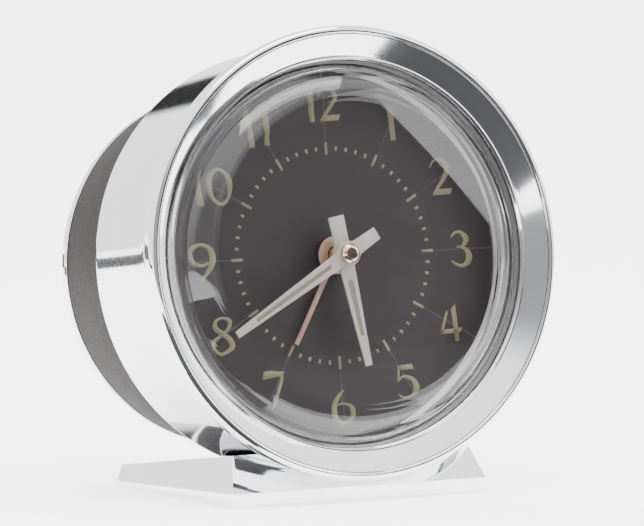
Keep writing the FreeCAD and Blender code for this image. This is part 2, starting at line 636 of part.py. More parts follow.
def work_out_phases():
    PHASE["centre_pinion"] = 0.0
    line = direction(CENTRE, TIME_SPRING_AT)
    PHASE["great"] = meshed_phase(CENTRE_PINION_T, PHASE["centre_pinion"], GREAT_T, line)
    PHASE["centre"] = 0.0
    PHASE["third_pinion"] = meshed_phase(CENTRE_T, PHASE["centre"], THIRD_PINION_T, THIRD_ANGLE)
    PHASE["third"] = 0.0
    PHASE["fourth_pinion"] = meshed_phase(THIRD_T, PHASE["third"], FOURTH_PINION_T, FOURTH_ANGLE)
    PHASE["fourth"] = 0.0
    PHASE["escape_pinion"] = meshed_phase(FOURTH_T, PHASE["fourth"], ESCAPE_PINION_T, ESCAPE_ANGLE)
    PHASE["cannon"] = 0.0
    PHASE["minute"] = meshed_phase(CANNON_T, PHASE["cannon"], MINUTE_T, MINUTE_ANGLE)
    PHASE["hour"] = 0.0
    PHASE["hour_pinion"] = meshed_phase(HOUR_T, PHASE["hour"], HOUR_PINION_T, MINUTE_ANGLE)
    PHASE["alarm_great"] = 0.0
    PHASE["alarm_escape_pinion"] = meshed_phase(ALARM_GREAT_T, PHASE["alarm_great"],
                                                ALARM_PINION_T, ALARM_ESCAPE_ANGLE)
    PHASE["alarm_wheel"] = 0.0
    PHASE["alarm_set"] = meshed_phase(ALARM_WHEEL_T, PHASE["alarm_wheel"], ALARM_SET_T,
                                      direction(CENTRE, ALARM_SET_AT))


def make_centre():
    arbor_r = CENTRE_ARBOR_R
    pinion = gear(CENTRE_PINION_T, GREAT_M, GREAT_LEVEL[0] + 0.4, GREAT_LEVEL[1] - 0.4, CENTRE,
                  PHASE["centre_pinion"])
    arbor = fused([rod(arbor_r, MINUTE_HAND_W + 0.3, COVER_W - 6.0), pinion])
    add("centre_arbor", arbor)
    add("centre_wheel", wheel(CENTRE_T, CENTRE_M, *CENTRE_LEVEL, CENTRE, PHASE["centre"], arbor_r))
    teeth = gear(CANNON_T, MOTION_M, *CANNON_LEVEL, CENTRE, PHASE["cannon"])
    tube = rod(CANNON_TUBE_R, CANNON_LEVEL[1], MINUTE_HAND_W - HAND_THICK)
    add("cannon_pinion", fused([teeth, tube]).cut(rod(arbor_r, 20, -20)))


def make_third_to_escape():
    third = gear(THIRD_PINION_T, CENTRE_M, CENTRE_LEVEL[0] + 0.5, CENTRE_LEVEL[1] - 0.5, THIRD_AT,
                 PHASE["third_pinion"])
    add("third_arbor", fused([pivoted(THIRD_AT), third]))
    add("third_wheel", wheel(THIRD_T, THIRD_M, *THIRD_LEVEL, THIRD_AT, PHASE["third"], ARBOR_R))
    fourth = gear(FOURTH_PINION_T, THIRD_M, THIRD_LEVEL[0] + 0.4, THIRD_LEVEL[1] - 0.3, FOURTH_AT,
                  PHASE["fourth_pinion"])
    add("fourth_arbor", fused([pivoted(FOURTH_AT), fourth]))
    add("fourth_wheel", wheel(FOURTH_T, FOURTH_M, *FOURTH_LEVEL, FOURTH_AT, PHASE["fourth"], ARBOR_R))
    front_in = FRONT_PLATE_W - PLATE_THICK - 0.1
    slim = stepped([(PIVOT_R, FRONT_PLATE_W + 0.2, front_in), (ARBOR_R, front_in, -21.2),
                    (PIVOT_R, -21.2, BACK_PLATE_W - PLATE_THICK - 0.2)], ESCAPE_AT)
    pinion = gear(ESCAPE_PINION_T, FOURTH_M, FOURTH_LEVEL[0] + 0.4, FOURTH_LEVEL[1] - 0.4, ESCAPE_AT,
                  PHASE["escape_pinion"])
    add("escape_arbor", fused([slim, pinion]))


def escape_blank(w0, w1, at, first_deg, tip_r, root_r, bore):
    """An escape wheel: slender leaning teeth on a rim with arms."""
    points = []
    pitch = 360 / ESCAPE_T
    for k in range(ESCAPE_T):
        here = first_deg + pitch * k
        points += [polar(root_r, here - 0.30 * pitch), polar(tip_r, here - 1.5), polar(tip_r, here + 1.5),
                   polar(root_r, here + 0.10 * pitch), polar(root_r, here + 0.45 * pitch)]
    body = moved(plate(points, w0, w1), at).cut(hole(bore, at))
    return body.cut(Part.makeCompound(crossings(4, 1.6, root_r - 0.6, 0.8, at, 10)))


def pin_places(arbor_at, wheel_at, reach, tip_r, gap):
    """The two pallet pins, just clear of the teeth in the middle position."""
    line = direction(wheel_at, arbor_at)
    spread = math.degrees(math.acos((tip_r + gap) / reach))
    return [polar(tip_r + gap, line + side * spread, wheel_at) for side in (-1, 1)]


def make_escapement():
    line = direction(ESCAPE_AT, PALLET_AT)
    add("escape_wheel", escape_blank(*ESCAPE_LEVEL, ESCAPE_AT, line + 15.0, ESCAPE_TIP_R, 3.7, ARBOR_R))
    pins = pin_places(PALLET_AT, ESCAPE_AT, PALLET_REACH, ESCAPE_TIP_R, ESCAPE_GAP)
    front, rear = LEVER_LEVEL
    arms = [bar(PALLET_AT, pin, 0.9, front, rear) for pin in pins]
    posts = [rod(PALLET_PIN_R, front, ESCAPE_LEVEL[0] + 0.2, pin) for pin in pins]
    to_balance = direction(PALLET_AT, BALANCE_AT)
    span = math.dist(PALLET_AT, BALANCE_AT)
    stem = bar(PALLET_AT, polar(3.4, to_balance, PALLET_AT), 0.9, front, rear)
    fork = plate([(2.9, -0.95), (span - 1.0, -0.75), (span - 1.0, -FORK_SLOT), (4.0, -FORK_SLOT),
                  (4.0, FORK_SLOT), (span - 1.0, FORK_SLOT), (span - 1.0, 0.75), (2.9, 0.95)], front, rear)
    boss = rod(1.1, front, rear, PALLET_AT)
    lever = fused(arms + [stem, boss, moved(fork, PALLET_AT, to_balance), pivoted(PALLET_AT)] + posts)
    add("pallet_lever", lever)


def make_balance():
    front, rear = BALANCE_LEVEL
    across = direction(BALANCE_AT, PALLET_AT) + 90
    rim = ring(8.0, 7.1, front, rear, BALANCE_AT)
    arm = bar(polar(7.4, across, BALANCE_AT), polar(7.4, across + 180, BALANCE_AT), 1.5, front, rear)
    hub = rod(1.6, front, rear, BALANCE_AT)
    screws = [rod(0.45, front + 0.35, rear - 0.35, polar(7.55, across + a, BALANCE_AT))
              for a in (20, 50, 130, 160, 200, 230, 310, 340)]
    disc = fused([rim, arm, hub] + screws)
    add("balance_wheel", disc.cut(rod(0.55, 0, -40, BALANCE_AT)))
    to_pallet = direction(BALANCE_AT, PALLET_AT)
    roller = rod(2.3, front + 0.8, front, BALANCE_AT)
    pin = rod(0.25, front + 0.8, LEVER_LEVEL[0] + 0.3, polar(IMPULSE_REACH, to_pallet, BALANCE_AT))
    staff = stepped([(0.4, FRONT_PLATE_W + 0.2, -7.0), (0.55, -7.0, -25.0), (0.4, -25.0, -27.4),
                     (0.9, HAIRSPRING_LEVEL[0] + 0.3, HAIRSPRING_LEVEL[1] - 0.3)], BALANCE_AT)
    add("balance_staff", fused([staff, roller, pin]))


def make_regulator():
    """Lever on the back plate that sets the rate, with a finger out through the cover's slot."""
    boss_front = BACK_PLATE_W - PLATE_THICK
    bearing = stepped([(2.0, boss_front, boss_front - 1.4), (2.6, boss_front - 1.4, boss_front - 1.9)],
                      BALANCE_AT)
    add("balance_bearing", bearing.cut(rod(0.44, -20, boss_front - 0.6, BALANCE_AT)))
    front, rear = boss_front - 0.25, boss_front - 1.05
    tip = polar(REGULATOR_REACH, REGULATOR_DEG, BALANCE_AT)
    collar = ring(3.3, 2.0 + PIVOT_PLAY, front, rear, BALANCE_AT)
    arm = bar(polar(2.8, REGULATOR_DEG, BALANCE_AT), tip, 1.6, front, rear)
    finger = rod(0.7, front, COVER_W - 3.4, tip)
    knob = rod(1.3, COVER_W - 3.0, COVER_W - 4.6, tip)
    add("regulator_lever", fused([collar, arm, finger, knob]))


# ---------------------------------------------------------------- motion work and hands
def make_motion_work():
    add("minute_wheel_post", rod(0.6, -1.9, FRONT_PLATE_W, MINUTE_AT))
    minute = gear(MINUTE_T, MOTION_M, *CANNON_LEVEL, MINUTE_AT, PHASE["minute"])
    pinion = gear(HOUR_PINION_T, MOTION_M, HOUR_WHEEL_LEVEL[0] + 0.1, CANNON_LEVEL[0] - 0.1, MINUTE_AT,
                  PHASE["hour_pinion"])
    add("minute_wheel", fused([minute, pinion]).cut(rod(0.6 + PIVOT_PLAY, 0, -10, MINUTE_AT)))
    hour = gear(HOUR_T, MOTION_M, *HOUR_WHEEL_LEVEL, CENTRE, PHASE["hour"])
    pipe = rod(HOUR_PIPE_R, HOUR_WHEEL_LEVEL[1], HOUR_HAND_W - HAND_THICK)
    add("hour_wheel", fused([hour, pipe]).cut(hole(CANNON_TUBE_R + PIVOT_PLAY)))
    alarm = gear(ALARM_WHEEL_T, ALARM_SET_M, *ALARM_WHEEL_LEVEL, CENTRE, PHASE["alarm_wheel"])
    pipe = rod(ALARM_PIPE_R, ALARM_WHEEL_LEVEL[1], ALARM_HAND_W - HAND_THICK)
    add("alarm_wheel", fused([alarm, pipe]).cut(hole(HOUR_PIPE_R + PIVOT_PLAY)))
    pinion = gear(ALARM_SET_T, ALARM_SET_M, ALARM_WHEEL_LEVEL[0] + 0.05, ALARM_WHEEL_LEVEL[1] - 0.3,
                  ALARM_SET_AT, PHASE["alarm_set"])
    arbor = rod(SET_ARBOR_R, ALARM_WHEEL_LEVEL[0], COVER_W - 6.0, ALARM_SET_AT)
    add("alarm_set_arbor", fused([arbor, pinion]))


def hand_blade(tip, half, tail_half, w_front, hub_r, bore):
    """A tapered hand, pointing up, with a straight tail and a round hub."""
    rear_w = w_front - HAND_THICK
    blade = plate([(-HAND_TIP_HALF, tip), (HAND_TIP_HALF, tip), (half, 0), (tail_half, -HAND_TAIL),
                   (-tail_half, -HAND_TAIL), (-half, 0)], w_front, rear_w)
    hub = rod(hub_r, w_front, rear_w)
    return fused([blade, hub]).cut(hole(bore))


def make_hands():
    minute = hand_blade(MINUTE_HAND_TIP, 1.5, 1.2, MINUTE_HAND_W, 2.0, CENTRE_ARBOR_R)
    add("minute_hand", moved(minute, CENTRE, -MINUTE_HAND_DEG))
    hour = hand_blade(HOUR_HAND_TIP, 1.6, 1.7, HOUR_HAND_W, 2.6, CANNON_TUBE_R + PIVOT_PLAY)
    add("hour_hand", moved(hour, CENTRE, -HOUR_HAND_DEG))
    rear_w = ALARM_HAND_W - HAND_THICK
    blade = plate([(-0.42, ALARM_HAND_TIP), (0.42, ALARM_HAND_TIP), (0.5, 3.0), (-0.5, 3.0)],
                  ALARM_HAND_W, rear_w)
    alarm = fused([blade, rod(3.7, ALARM_HAND_W, rear_w)]).cut(hole(HOUR_PIPE_R + PIVOT_PLAY))
    add("alarm_hand", moved(alarm, CENTRE, -ALARM_HAND_DEG))
    cap = rod(1.8, MINUTE_HAND_W, MINUTE_HAND_W + 1.6)
    cap = cap.common(Part.makeSphere(2.6, vec(0, 0, MINUTE_HAND_W - 0.9)))
    add("hand_cap", cap.cut(rod(0.75, MINUTE_HAND_W - 1, MINUTE_HAND_W + 0.3)))


def knob(radius, hub_w, at, length=5.0):
    """A knurled knob on its arbor, fitted from the rear."""
    body = rod(radius, hub_w - 1.0, hub_w - length)
    grooves = [rod(0.35, hub_w, hub_w - length - 1, polar(radius + 0.12, 15 * k)) for k in range(24)]
    body = body.cut(Part.makeCompound(grooves))
    return moved(fused([body, rod(radius * 0.6, hub_w, hub_w - 1.0)]), at)


def make_knobs():
    start = COVER_W - 1.6
    centre = knob(3.3, start, CENTRE).cut(rod(CENTRE_ARBOR_R, 0, COVER_W - 6.0))
    add("time_set_knob", centre)
    alarm = knob(3.3, start, ALARM_SET_AT).cut(rod(SET_ARBOR_R, 0, COVER_W - 6.0, ALARM_SET_AT))
    add("alarm_set_knob", alarm)
    button = stepped([(1.5, -34.0, COVER_W - 2.2), (2.2, COVER_W + 4.9, COVER_W + 3.9),
                      (2.6, COVER_W - 2.2, COVER_W - 4.4)], BUTTON_AT)
    add("silence_button", button)


# ---------------------------------------------------------------- alarm train
def make_alarm_train():
    pinion = gear(ALARM_PINION_T, GREAT_M, ALARM_GREAT_LEVEL[0] + 0.4, ALARM_GREAT_LEVEL[1] - 0.4,
                  ALARM_ESCAPE_AT, PHASE["alarm_escape_pinion"])
    add("alarm_escape_arbor", fused([pivoted(ALARM_ESCAPE_AT), pinion]))
    line = direction(ALARM_ESCAPE_AT, HAMMER_AT)
    tip_r = 4.0
    add("alarm_escape_wheel", escape_blank(*ALARM_ESCAPE_LEVEL, ALARM_ESCAPE_AT, line + 15.0, tip_r, 3.2,
                                           ARBOR_R))
    front, rear = ALARM_ESCAPE_LEVEL[0] + 1.4, ALARM_ESCAPE_LEVEL[0] + 0.6
    pins = pin_places(HAMMER_AT, ALARM_ESCAPE_AT, HAMMER_REACH, tip_r, ESCAPE_GAP)
    anchor = [bar(HAMMER_AT, pin, 1.0, front, rear) for pin in pins]
    posts = [rod(0.25, rear, ALARM_ESCAPE_LEVEL[1] - 0.2, pin) for pin in pins]
    arm_front = BACK_PLATE_W - PLATE_THICK - 1.0
    head_at = (33.0, -6.0)
    arm = bar(HAMMER_AT, head_at, 1.4, arm_front, arm_front - 0.8)
    head = rod(2.0, arm_front + 1.2, arm_front - 3.0, head_at)
    arbor = stepped([(PIVOT_R, FRONT_PLATE_W + 0.2, FRONT_PLATE_W - PLATE_THICK - 0.1),
                     (ARBOR_R, FRONT_PLATE_W - PLATE_THICK - 0.1, BACK_PLATE_W + 0.1),
                     (PIVOT_R, BACK_PLATE_W + 0.1, arm_front - 0.4)], HAMMER_AT)
    add("alarm_hammer", fused(anchor + posts + [arm, head, arbor]))


# ---------------------------------------------------------------- build
def build():
    work_out_phases()
    make_bezel()
    make_crystal()
    make_retainer()
    make_dial()
    make_band()
    make_shell()
    make_back_rim()
    make_back_cover()
    make_cover_fixings()
    make_stand()
    make_stand_screws()
    make_plates()
    make_pillars()
    make_springs()
    make_winding()
    make_centre()
    make_third_to_escape()
    make_escapement()
    make_balance()
    make_regulator()
    make_motion_work()
    make_hands()
    make_knobs()
    make_alarm_train()
    os.makedirs("parts", exist_ok=True)
    for name, shape in parts.items():
        shape.exportStep(f"parts/{name}.step")
    whole = Part.makeCompound(list(parts.values())).BoundBox
    print(len(parts), "nodes; box", [round(v, 2) for v in (
        whole.XMin, whole.XMax, whole.YMin, whole.YMax, whole.ZMin, whole.ZMax)])


build()
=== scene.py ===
import json
import math

import bmesh
import bpy
from mathutils import Matrix, Vector


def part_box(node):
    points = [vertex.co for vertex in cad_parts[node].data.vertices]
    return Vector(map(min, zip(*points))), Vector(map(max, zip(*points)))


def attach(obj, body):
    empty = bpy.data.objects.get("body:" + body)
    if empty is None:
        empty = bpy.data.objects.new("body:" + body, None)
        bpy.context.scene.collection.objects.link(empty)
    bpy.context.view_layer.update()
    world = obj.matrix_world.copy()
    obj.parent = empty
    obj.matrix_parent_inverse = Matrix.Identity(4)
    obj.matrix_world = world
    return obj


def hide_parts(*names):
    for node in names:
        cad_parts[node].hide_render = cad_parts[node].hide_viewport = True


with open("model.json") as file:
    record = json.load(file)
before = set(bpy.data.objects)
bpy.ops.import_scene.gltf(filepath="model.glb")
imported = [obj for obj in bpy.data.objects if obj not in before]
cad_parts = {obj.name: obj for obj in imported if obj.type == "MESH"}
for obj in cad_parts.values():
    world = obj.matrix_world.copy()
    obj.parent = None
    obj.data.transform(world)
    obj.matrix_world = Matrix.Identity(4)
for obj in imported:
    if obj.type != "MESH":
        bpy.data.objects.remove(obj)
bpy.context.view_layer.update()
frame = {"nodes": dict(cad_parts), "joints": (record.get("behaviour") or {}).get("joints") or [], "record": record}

# ---------------------------------------------------------------- sizes, in millimetres
MM = 0.001
SEGMENTS = 288            # steps round a turned piece of the case
HAND_SEGMENTS = 96        # the same for the small turned pieces on the hands
KNOB_SEGMENTS = 240
SADDLE_SEGMENTS = 240

DIAL_RADIUS = 38.4
DIAL_HOLE = 2.7
DIAL_THICKNESS = 0.8
NUMERAL_HEIGHT = 7.15
NUMERAL_STRETCH = 1.1
NUMERAL_HALF_WIDTH = 2.2
NUMERAL_INNER = 25.45     # the numerals' inner edges stand on this circle
TICK_OUTER = 21.55        # the longer bar at each hour
TICK_INNER = 19.15
TICK_WIDTH = 0.55
DASH_RADIUS = 20.35       # the short dash at each minute
DASH_HALF_LENGTH = 0.4
DASH_WIDTH = 0.5
LINE_OUTER = 35.2         # the thin line from each hour's bar to the edge
LINE_GAP = 0.1
LINE_WIDTH = 0.26
PRINT_LIFT = 0.03         # how far the numerals stand off the dial
PRINT_THICKNESS = 0.025
LINE_DROP = 0.012         # how far the lines lie below the numerals

MINUTE_ANGLE = 240.0      # clockwise from twelve
HOUR_ANGLE = 170.0
ALARM_ANGLE = 210.0
HUB_RADIUS = 2.4
TIP_HALF_WIDTH = 0.7

KNOB_FLUTES = 20
KNOB_FLUTE_DEPTH = 0.055  # as a part of the knob's radius

STAND_HIP_IN = 2.0        # from the stand's outer edges in to its top: sides, front and rear
STAND_HIP_FRONT_IN = 4.1
STAND_HIP_REAR_IN = 0.8
STAND_SKIRT_FRONT = 2.8   # heights at the outer edges
STAND_SKIRT_REAR = 1.1
STAND_HIP_FRONT = 9.6     # heights of the top
STAND_HIP_REAR = 4.2
STAND_BLANK = 30.0        # height of the block the stand is cut from
STAND_EDGE = 0.3
SADDLE = ((0.0, 20.0), (43.4, 20.0), (43.4, 3.95), (41.72, 3.6), (41.16, 1.9), (40.38, -20.0),
          (40.38, -60.0), (0.0, -60.0))    # (radius, level) of the hollow that the case sits in

# ---------------------------------------------------------------- light and camera
GLINT_TURN = 33.0         # degrees from the crystal's mirrored sight to the soft box it shows
GLINT_DISTANCE = 1.2      # metres
SOFT_LIGHT = 3.0          # the white room as it lights the object and the floor
WALL_BRIGHTNESS = 2.4     # the white walls as the metal and the crystal reflect them
BACKDROP_BRIGHTNESS = 6.0
FLOOR_GLOW = 2.0          # the floor is a lit white panel
# direction, degrees to its full and to its faded edge, and brightness of each gap in the walls
DARK_GAPS = (
    ((0.47, -0.87, 0.12), 27.0, 38.0, 0.012),
    ((0.25, 0.92, 0.335), 7.0, 10.0, 0.02),
    ((-0.60, -0.80, 0.05), 24.0, 42.0, 0.22),
)

CARD_LIFT = 0.0006        # metres from the floor to the lowest dark card

CAMERA_AZIMUTH = -28.0    # degrees
CAMERA_ELEVATION = 4.219
CAMERA_ROLL = 0.762
CAMERA_DISTANCE = 1.231   # metres
CAMERA_TARGET_AHEAD = 0.01747    # the aim, in front of the dial's centre
CAMERA_TARGET_Z = 0.045
LENS = 367.03
SHIFT = (-0.08262, 0.00339)


# ---------------------------------------------------------------- the clock's own axes
def joint(name):
    """A joint's row in the frame."""
    return next(j for j in frame["joints"] if j["name"] == name)


AXIS = Vector(joint("minute_hand_turn")["axis"]).normalized()
RIGHT = Vector((1.0, 0.0, 0.0))
UP = AXIS.cross(RIGHT).normalized()


def node_points(node):
    """A CAD node's points where they stand, in metres."""
    piece = frame["nodes"][node]
    return [piece.matrix_world @ vertex.co for vertex in piece.data.vertices]


def dial_centre():
    """The point where the hands' axis meets the dial's front face."""
    start = Vector(joint("minute_hand_turn")["pos_m"])
    level = max((point - start).dot(AXIS) for point in node_points("dial"))
    return start + AXIS * level


CENTRE = dial_centre()
CLOCK = Matrix((
    (RIGHT.x, UP.x, AXIS.x, CENTRE.x),
    (RIGHT.y, UP.y, AXIS.y, CENTRE.y),
    (RIGHT.z, UP.z, AXIS.z, CENTRE.z),
    (0.0, 0.0, 0.0, 1.0)))
TO_CLOCK = CLOCK.inverted()

# ---------------------------------------------------------------- sight lines
AZIMUTH = math.radians(CAMERA_AZIMUTH)
ELEVATION = math.radians(CAMERA_ELEVATION)
TO_CAMERA = Vector((math.sin(AZIMUTH) * math.cos(ELEVATION), -math.cos(AZIMUTH) * math.cos(ELEVATION),
                    math.sin(ELEVATION)))
SIGHT = -TO_CAMERA
MIRRORED = SIGHT - 2 * SIGHT.dot(AXIS) * AXIS           # where the crystal's flat middle reflects
SIGHT_BACK = Vector((-SIGHT.x, SIGHT.y)).normalized()   # where the band's left side reflects, level
GLINT_SIDE = (RIGHT * 0.77 + UP * 0.64).normalized()    # the glint lies at the upper right


def local_points(node):
    """A node's points on the clock's axes, with levels counted forward from the dial's front face."""
    return [(TO_CLOCK @ point) / MM for point in node_points(node)]


def levels(node):
    """A node's rear and front levels."""
    w = [point.z for point in local_points(node)]
    return min(w), max(w)


def centre_of(node):
    """The middle of a node across the clock's axis."""
    points = local_points(node)
    x = [point.x for point in points]
    v = [point.y for point in points]
    return (min(x) + max(x)) / 2, (min(v) + max(v)) / 2


# ---------------------------------------------------------------- materials
GRAIN_DEPTH = 0.00002     # metres
PAINT_TEXTURE_DEPTH = 0.00006
PLASTIC_IOR = 1.47


def new_material(name):
    """A material with its nodes, its links and its shader."""
    material = bpy.data.materials.new(name)
    material.use_nodes = True
    nodes = material.node_tree.nodes
    return material, nodes, material.node_tree.links, nodes["Principled BSDF"]


def coordinates(nodes):
    """A piece's own coordinates, in metres."""
    return nodes.new("ShaderNodeTexCoord").outputs["Object"]


def noise(nodes, links, vector, per_metre, detail=3.0, roughness=0.55):
    """A noise from 0 to 1."""
    node = nodes.new("ShaderNodeTexNoise")
    node.inputs["Scale"].default_value = per_metre
    node.inputs["Detail"].default_value = detail
    node.inputs["Roughness"].default_value = roughness
    links.new(vector, node.inputs["Vector"])
    return node.outputs["Fac"]


def spread(nodes, links, value, low, high, start=0.3, end=0.7):
    """Stretches start to end over low to high."""
    node = nodes.new("ShaderNodeMapRange")
    node.inputs["From Min"].default_value = start
    node.inputs["From Max"].default_value = end
    node.inputs["To Min"].default_value = low
    node.inputs["To Max"].default_value = high
    links.new(value, node.inputs["Value"])
    return node.outputs["Result"]


def blend_colours(nodes, links, factor, dark, light):
    """A colour from dark at 0 to light at 1."""
    node = nodes.new("ShaderNodeValToRGB")
    node.color_ramp.elements[0].color = (*dark, 1.0)
    node.color_ramp.elements[1].color = (*light, 1.0)
    links.new(factor, node.inputs["Fac"])
    return node.outputs["Color"]


def bump(nodes, links, bsdf, height, strength, depth):
    """Fine relief, depth metres deep."""
    node = nodes.new("ShaderNodeBump")
    node.inputs["Strength"].default_value = strength
    node.inputs["Distance"].default_value = depth
    links.new(height, node.inputs["Height"])
    links.new(node.outputs["Normal"], bsdf.inputs["Normal"])


def surface(name, dark, light, rough, metallic, patch, grain, strength=0.3):
    """A surface whose colour drifts in patches, with a fine grain in its gloss and its bump."""
    material, nodes, links, bsdf = new_material(name)
    vector = coordinates(nodes)
    fine = noise(nodes, links, vector, grain, 2.0)
    drift = noise(nodes, links, vector, patch)
    links.new(blend_colours(nodes, links, spread(nodes, links, drift, 0.0, 1.0), dark, light),
              bsdf.inputs["Base Color"])
    links.new(spread(nodes, links, fine, *rough), bsdf.inputs["Roughness"])
    bump(nodes, links, bsdf, fine, strength, GRAIN_DEPTH)
    bsdf.inputs["Metallic"].default_value = metallic
    return material


def make_materials():
    """One material for each slot in the record, and those for the pieces made here."""
    bright, dull = (0.83, 0.835, 0.85), (0.77, 0.775, 0.80)
    # name, dark and light colour, roughness, metallic, patches and grain per metre, bump strength
    rows = {
        "chrome": ("chrome_polished", dull, bright, (0.035, 0.085), 1.0, 60.0, 900.0, 0.04),
        "chrome_satin": ("chrome_satin", dull, bright, (0.05, 0.10), 1.0, 90.0, 5000.0, 0.05),
        "grey_ring": ("grey_ring", (0.62, 0.60, 0.58), (0.74, 0.72, 0.70), (0.28, 0.45), 0.0,
                      300.0, 3500.0),
        "dial_print": ("dial_face", (0.0190, 0.0132, 0.0142), (0.0232, 0.0166, 0.0176), (0.42, 0.60), 0.0,
                       260.0, 6000.0, 0.25),
        "numeral_ink": ("numeral_ink", (0.20, 0.175, 0.10), (0.245, 0.215, 0.13), (0.5, 0.7), 0.0,
                        900.0, 9000.0),
        "line_ink": ("line_ink", (0.045, 0.045, 0.058), (0.06, 0.06, 0.075), (0.45, 0.6), 0.0,
                     900.0, 9000.0),
        "hand_paint": ("hand_paint", (0.44, 0.395, 0.365), (0.50, 0.455, 0.42), (0.30, 0.45), 0.0,
                       400.0, 7000.0, 0.2),
        "lume": ("hand_insert", (0.20, 0.19, 0.13), (0.25, 0.24, 0.17), (0.6, 0.8), 0.0,
                 1200.0, 9000.0, 0.5),
        "copper": ("alarm_hand_copper", (0.52, 0.33, 0.26), (0.62, 0.42, 0.34), (0.28, 0.42), 0.7,
                   500.0, 6000.0),
        "polished_brass": ("cap_brass", (0.80, 0.56, 0.42), (0.88, 0.68, 0.54), (0.08, 0.18), 1.0,
                           700.0, 5000.0, 0.1),
        "pad_rubber": ("pad_rubber", (0.018, 0.018, 0.018), (0.03, 0.03, 0.03), (0.7, 0.9), 0.0,
                       300.0, 2500.0, 0.6),
        "steel": ("turned_steel", (0.50, 0.50, 0.52), (0.64, 0.64, 0.66), (0.18, 0.34), 1.0,
                  400.0, 5000.0),
        "blued_steel": ("spring_steel", (0.10, 0.12, 0.18), (0.20, 0.23, 0.32), (0.2, 0.35), 1.0,
                        400.0, 5000.0),
        "wheel_brass": ("movement_brass", (0.66, 0.47, 0.20), (0.80, 0.60, 0.29), (0.2, 0.36), 1.0,
                        350.0, 4000.0),
        "key_brass": ("key_brass", (0.56, 0.41, 0.19), (0.72, 0.55, 0.28), (0.2, 0.36), 1.0,
                      450.0, 4000.0),
        "black_knob": ("black_knob", (0.012, 0.012, 0.013), (0.022, 0.022, 0.024), (0.22, 0.36), 0.0,
                       500.0, 4500.0, 0.15),
        "nickel_button": ("button_nickel", (0.66, 0.64, 0.60), (0.76, 0.74, 0.70), (0.1, 0.2), 1.0,
                          500.0, 4000.0, 0.1),
    }
    made = {key: surface(*row) for key, row in rows.items()}
    made["shell_paint"] = shell_paint()
    made["clear_crystal"] = crystal_plastic()
    return made


def shell_paint():
    """Dark warm grey paint with fine flakes and a fine texture."""
    material, nodes, links, bsdf = new_material("shell_paint")
    vector = coordinates(nodes)
    texture = noise(nodes, links, vector, 2600.0, 4.0, 0.65)
    flake = nodes.new("ShaderNodeTexVoronoi")
    flake.inputs["Scale"].default_value = 5200.0
    links.new(vector, flake.inputs["Vector"])
    speck = nodes.new("ShaderNodeSeparateColor")
    links.new(flake.outputs["Color"], speck.inputs["Color"])
    mixed = nodes.new("ShaderNodeMix")
    links.new(texture, mixed.inputs["A"])
    links.new(speck.outputs["Red"], mixed.inputs["B"])
    mixed.inputs["Factor"].default_value = 0.45
    depth = spread(nodes, links, mixed.outputs["Result"], 0.0, 1.0, 0.25, 0.8)
    colour = blend_colours(nodes, links, depth, (0.007, 0.0058, 0.0058), (0.042, 0.036, 0.035))
    links.new(colour, bsdf.inputs["Base Color"])
    links.new(spread(nodes, links, texture, 0.38, 0.6), bsdf.inputs["Roughness"])
    bump(nodes, links, bsdf, mixed.outputs["Result"], 0.5, PAINT_TEXTURE_DEPTH)
    bsdf.inputs["Specular IOR Level"].default_value = 0.012
    return material


def crystal_plastic():
    """Clear moulded plastic that lets lamp light through to the dial."""
    material, nodes, links, bsdf = new_material("crystal_plastic")
    vector = coordinates(nodes)
    dust = noise(nodes, links, vector, 1400.0, 3.0, 0.6)
    scuff = noise(nodes, links, vector, 90.0, 4.0, 0.6)
    links.new(spread(nodes, links, dust, 0.0, 0.03, 0.62, 0.8), bsdf.inputs["Roughness"])
    links.new(blend_colours(nodes, links, scuff, (0.96, 0.965, 0.97), (1.0, 1.0, 1.0)),
              bsdf.inputs["Base Color"])
    bsdf.inputs["Transmission Weight"].default_value = 1.0
    bsdf.inputs["IOR"].default_value = PLASTIC_IOR
    clear = nodes.new("ShaderNodeBsdfTransparent")
    clear.inputs["Color"].default_value = (0.96, 0.96, 0.96, 1.0)
    path = nodes.new("ShaderNodeLightPath")
    mix = nodes.new("ShaderNodeMixShader")
    links.new(path.outputs["Is Shadow Ray"], mix.inputs["Fac"])
    links.new(bsdf.outputs["BSDF"], mix.inputs[1])
    links.new(clear.outputs["BSDF"], mix.inputs[2])
    links.new(mix.outputs["Shader"], nodes["Material Output"].inputs["Surface"])
    return material


MATERIALS = make_materials()


def dress_frame():
    """Every CAD node takes the material of its slot in the record."""
    for row in frame["record"]["subparts"]:
        piece = frame["nodes"][row["node"]]
        piece.data.materials.clear()
        piece.data.materials.append(MATERIALS[row["material_slot"]])


# ---------------------------------------------------------------- mesh helpers
def keep(name, mesh, material, body, replaces=(), place=CLOCK, sharp=32.0):
    """Makes a finished piece: placed, shaded, and riding on its body."""
    mesh.transform(place)
    piece = bpy.data.objects.new(name, mesh)
    bpy.context.scene.collection.objects.link(piece)
    mesh.materials.append(MATERIALS[material])
    mesh.shade_smooth()
    mesh.set_sharp_from_angle(angle=math.radians(sharp))
    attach(piece, body)
    if replaces:
        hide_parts(*replaces)
    return piece


def rounded(points, steps=6):
    """An outline from (r, w) or (r, w, fillet radius) corners, with the corners rounded."""
    out = []
    count = len(points)
    for i, corner in enumerate(points):
        here = Vector(corner[:2])
        if len(corner) < 3:
            out.append(here)
            continue
        before = Vector(points[i - 1][:2]) - here
        after = Vector(points[(i + 1) % count][:2]) - here
        half = before.angle(after) / 2
        reach = min(corner[2] / math.tan(half), 0.49 * before.length, 0.49 * after.length)
        radius = reach * math.tan(half)
        middle = here + (before.normalized() + after.normalized()).normalized() * radius / math.sin(half)
        start = here + before.normalized() * reach - middle
        end = here + after.normalized() * reach - middle
        turn = start.angle_signed(end)
        for k in range(steps + 1):
            arm = start.copy()
            arm.rotate(Matrix.Rotation(-turn * k / steps, 2))
            out.append(middle + arm)
    return out


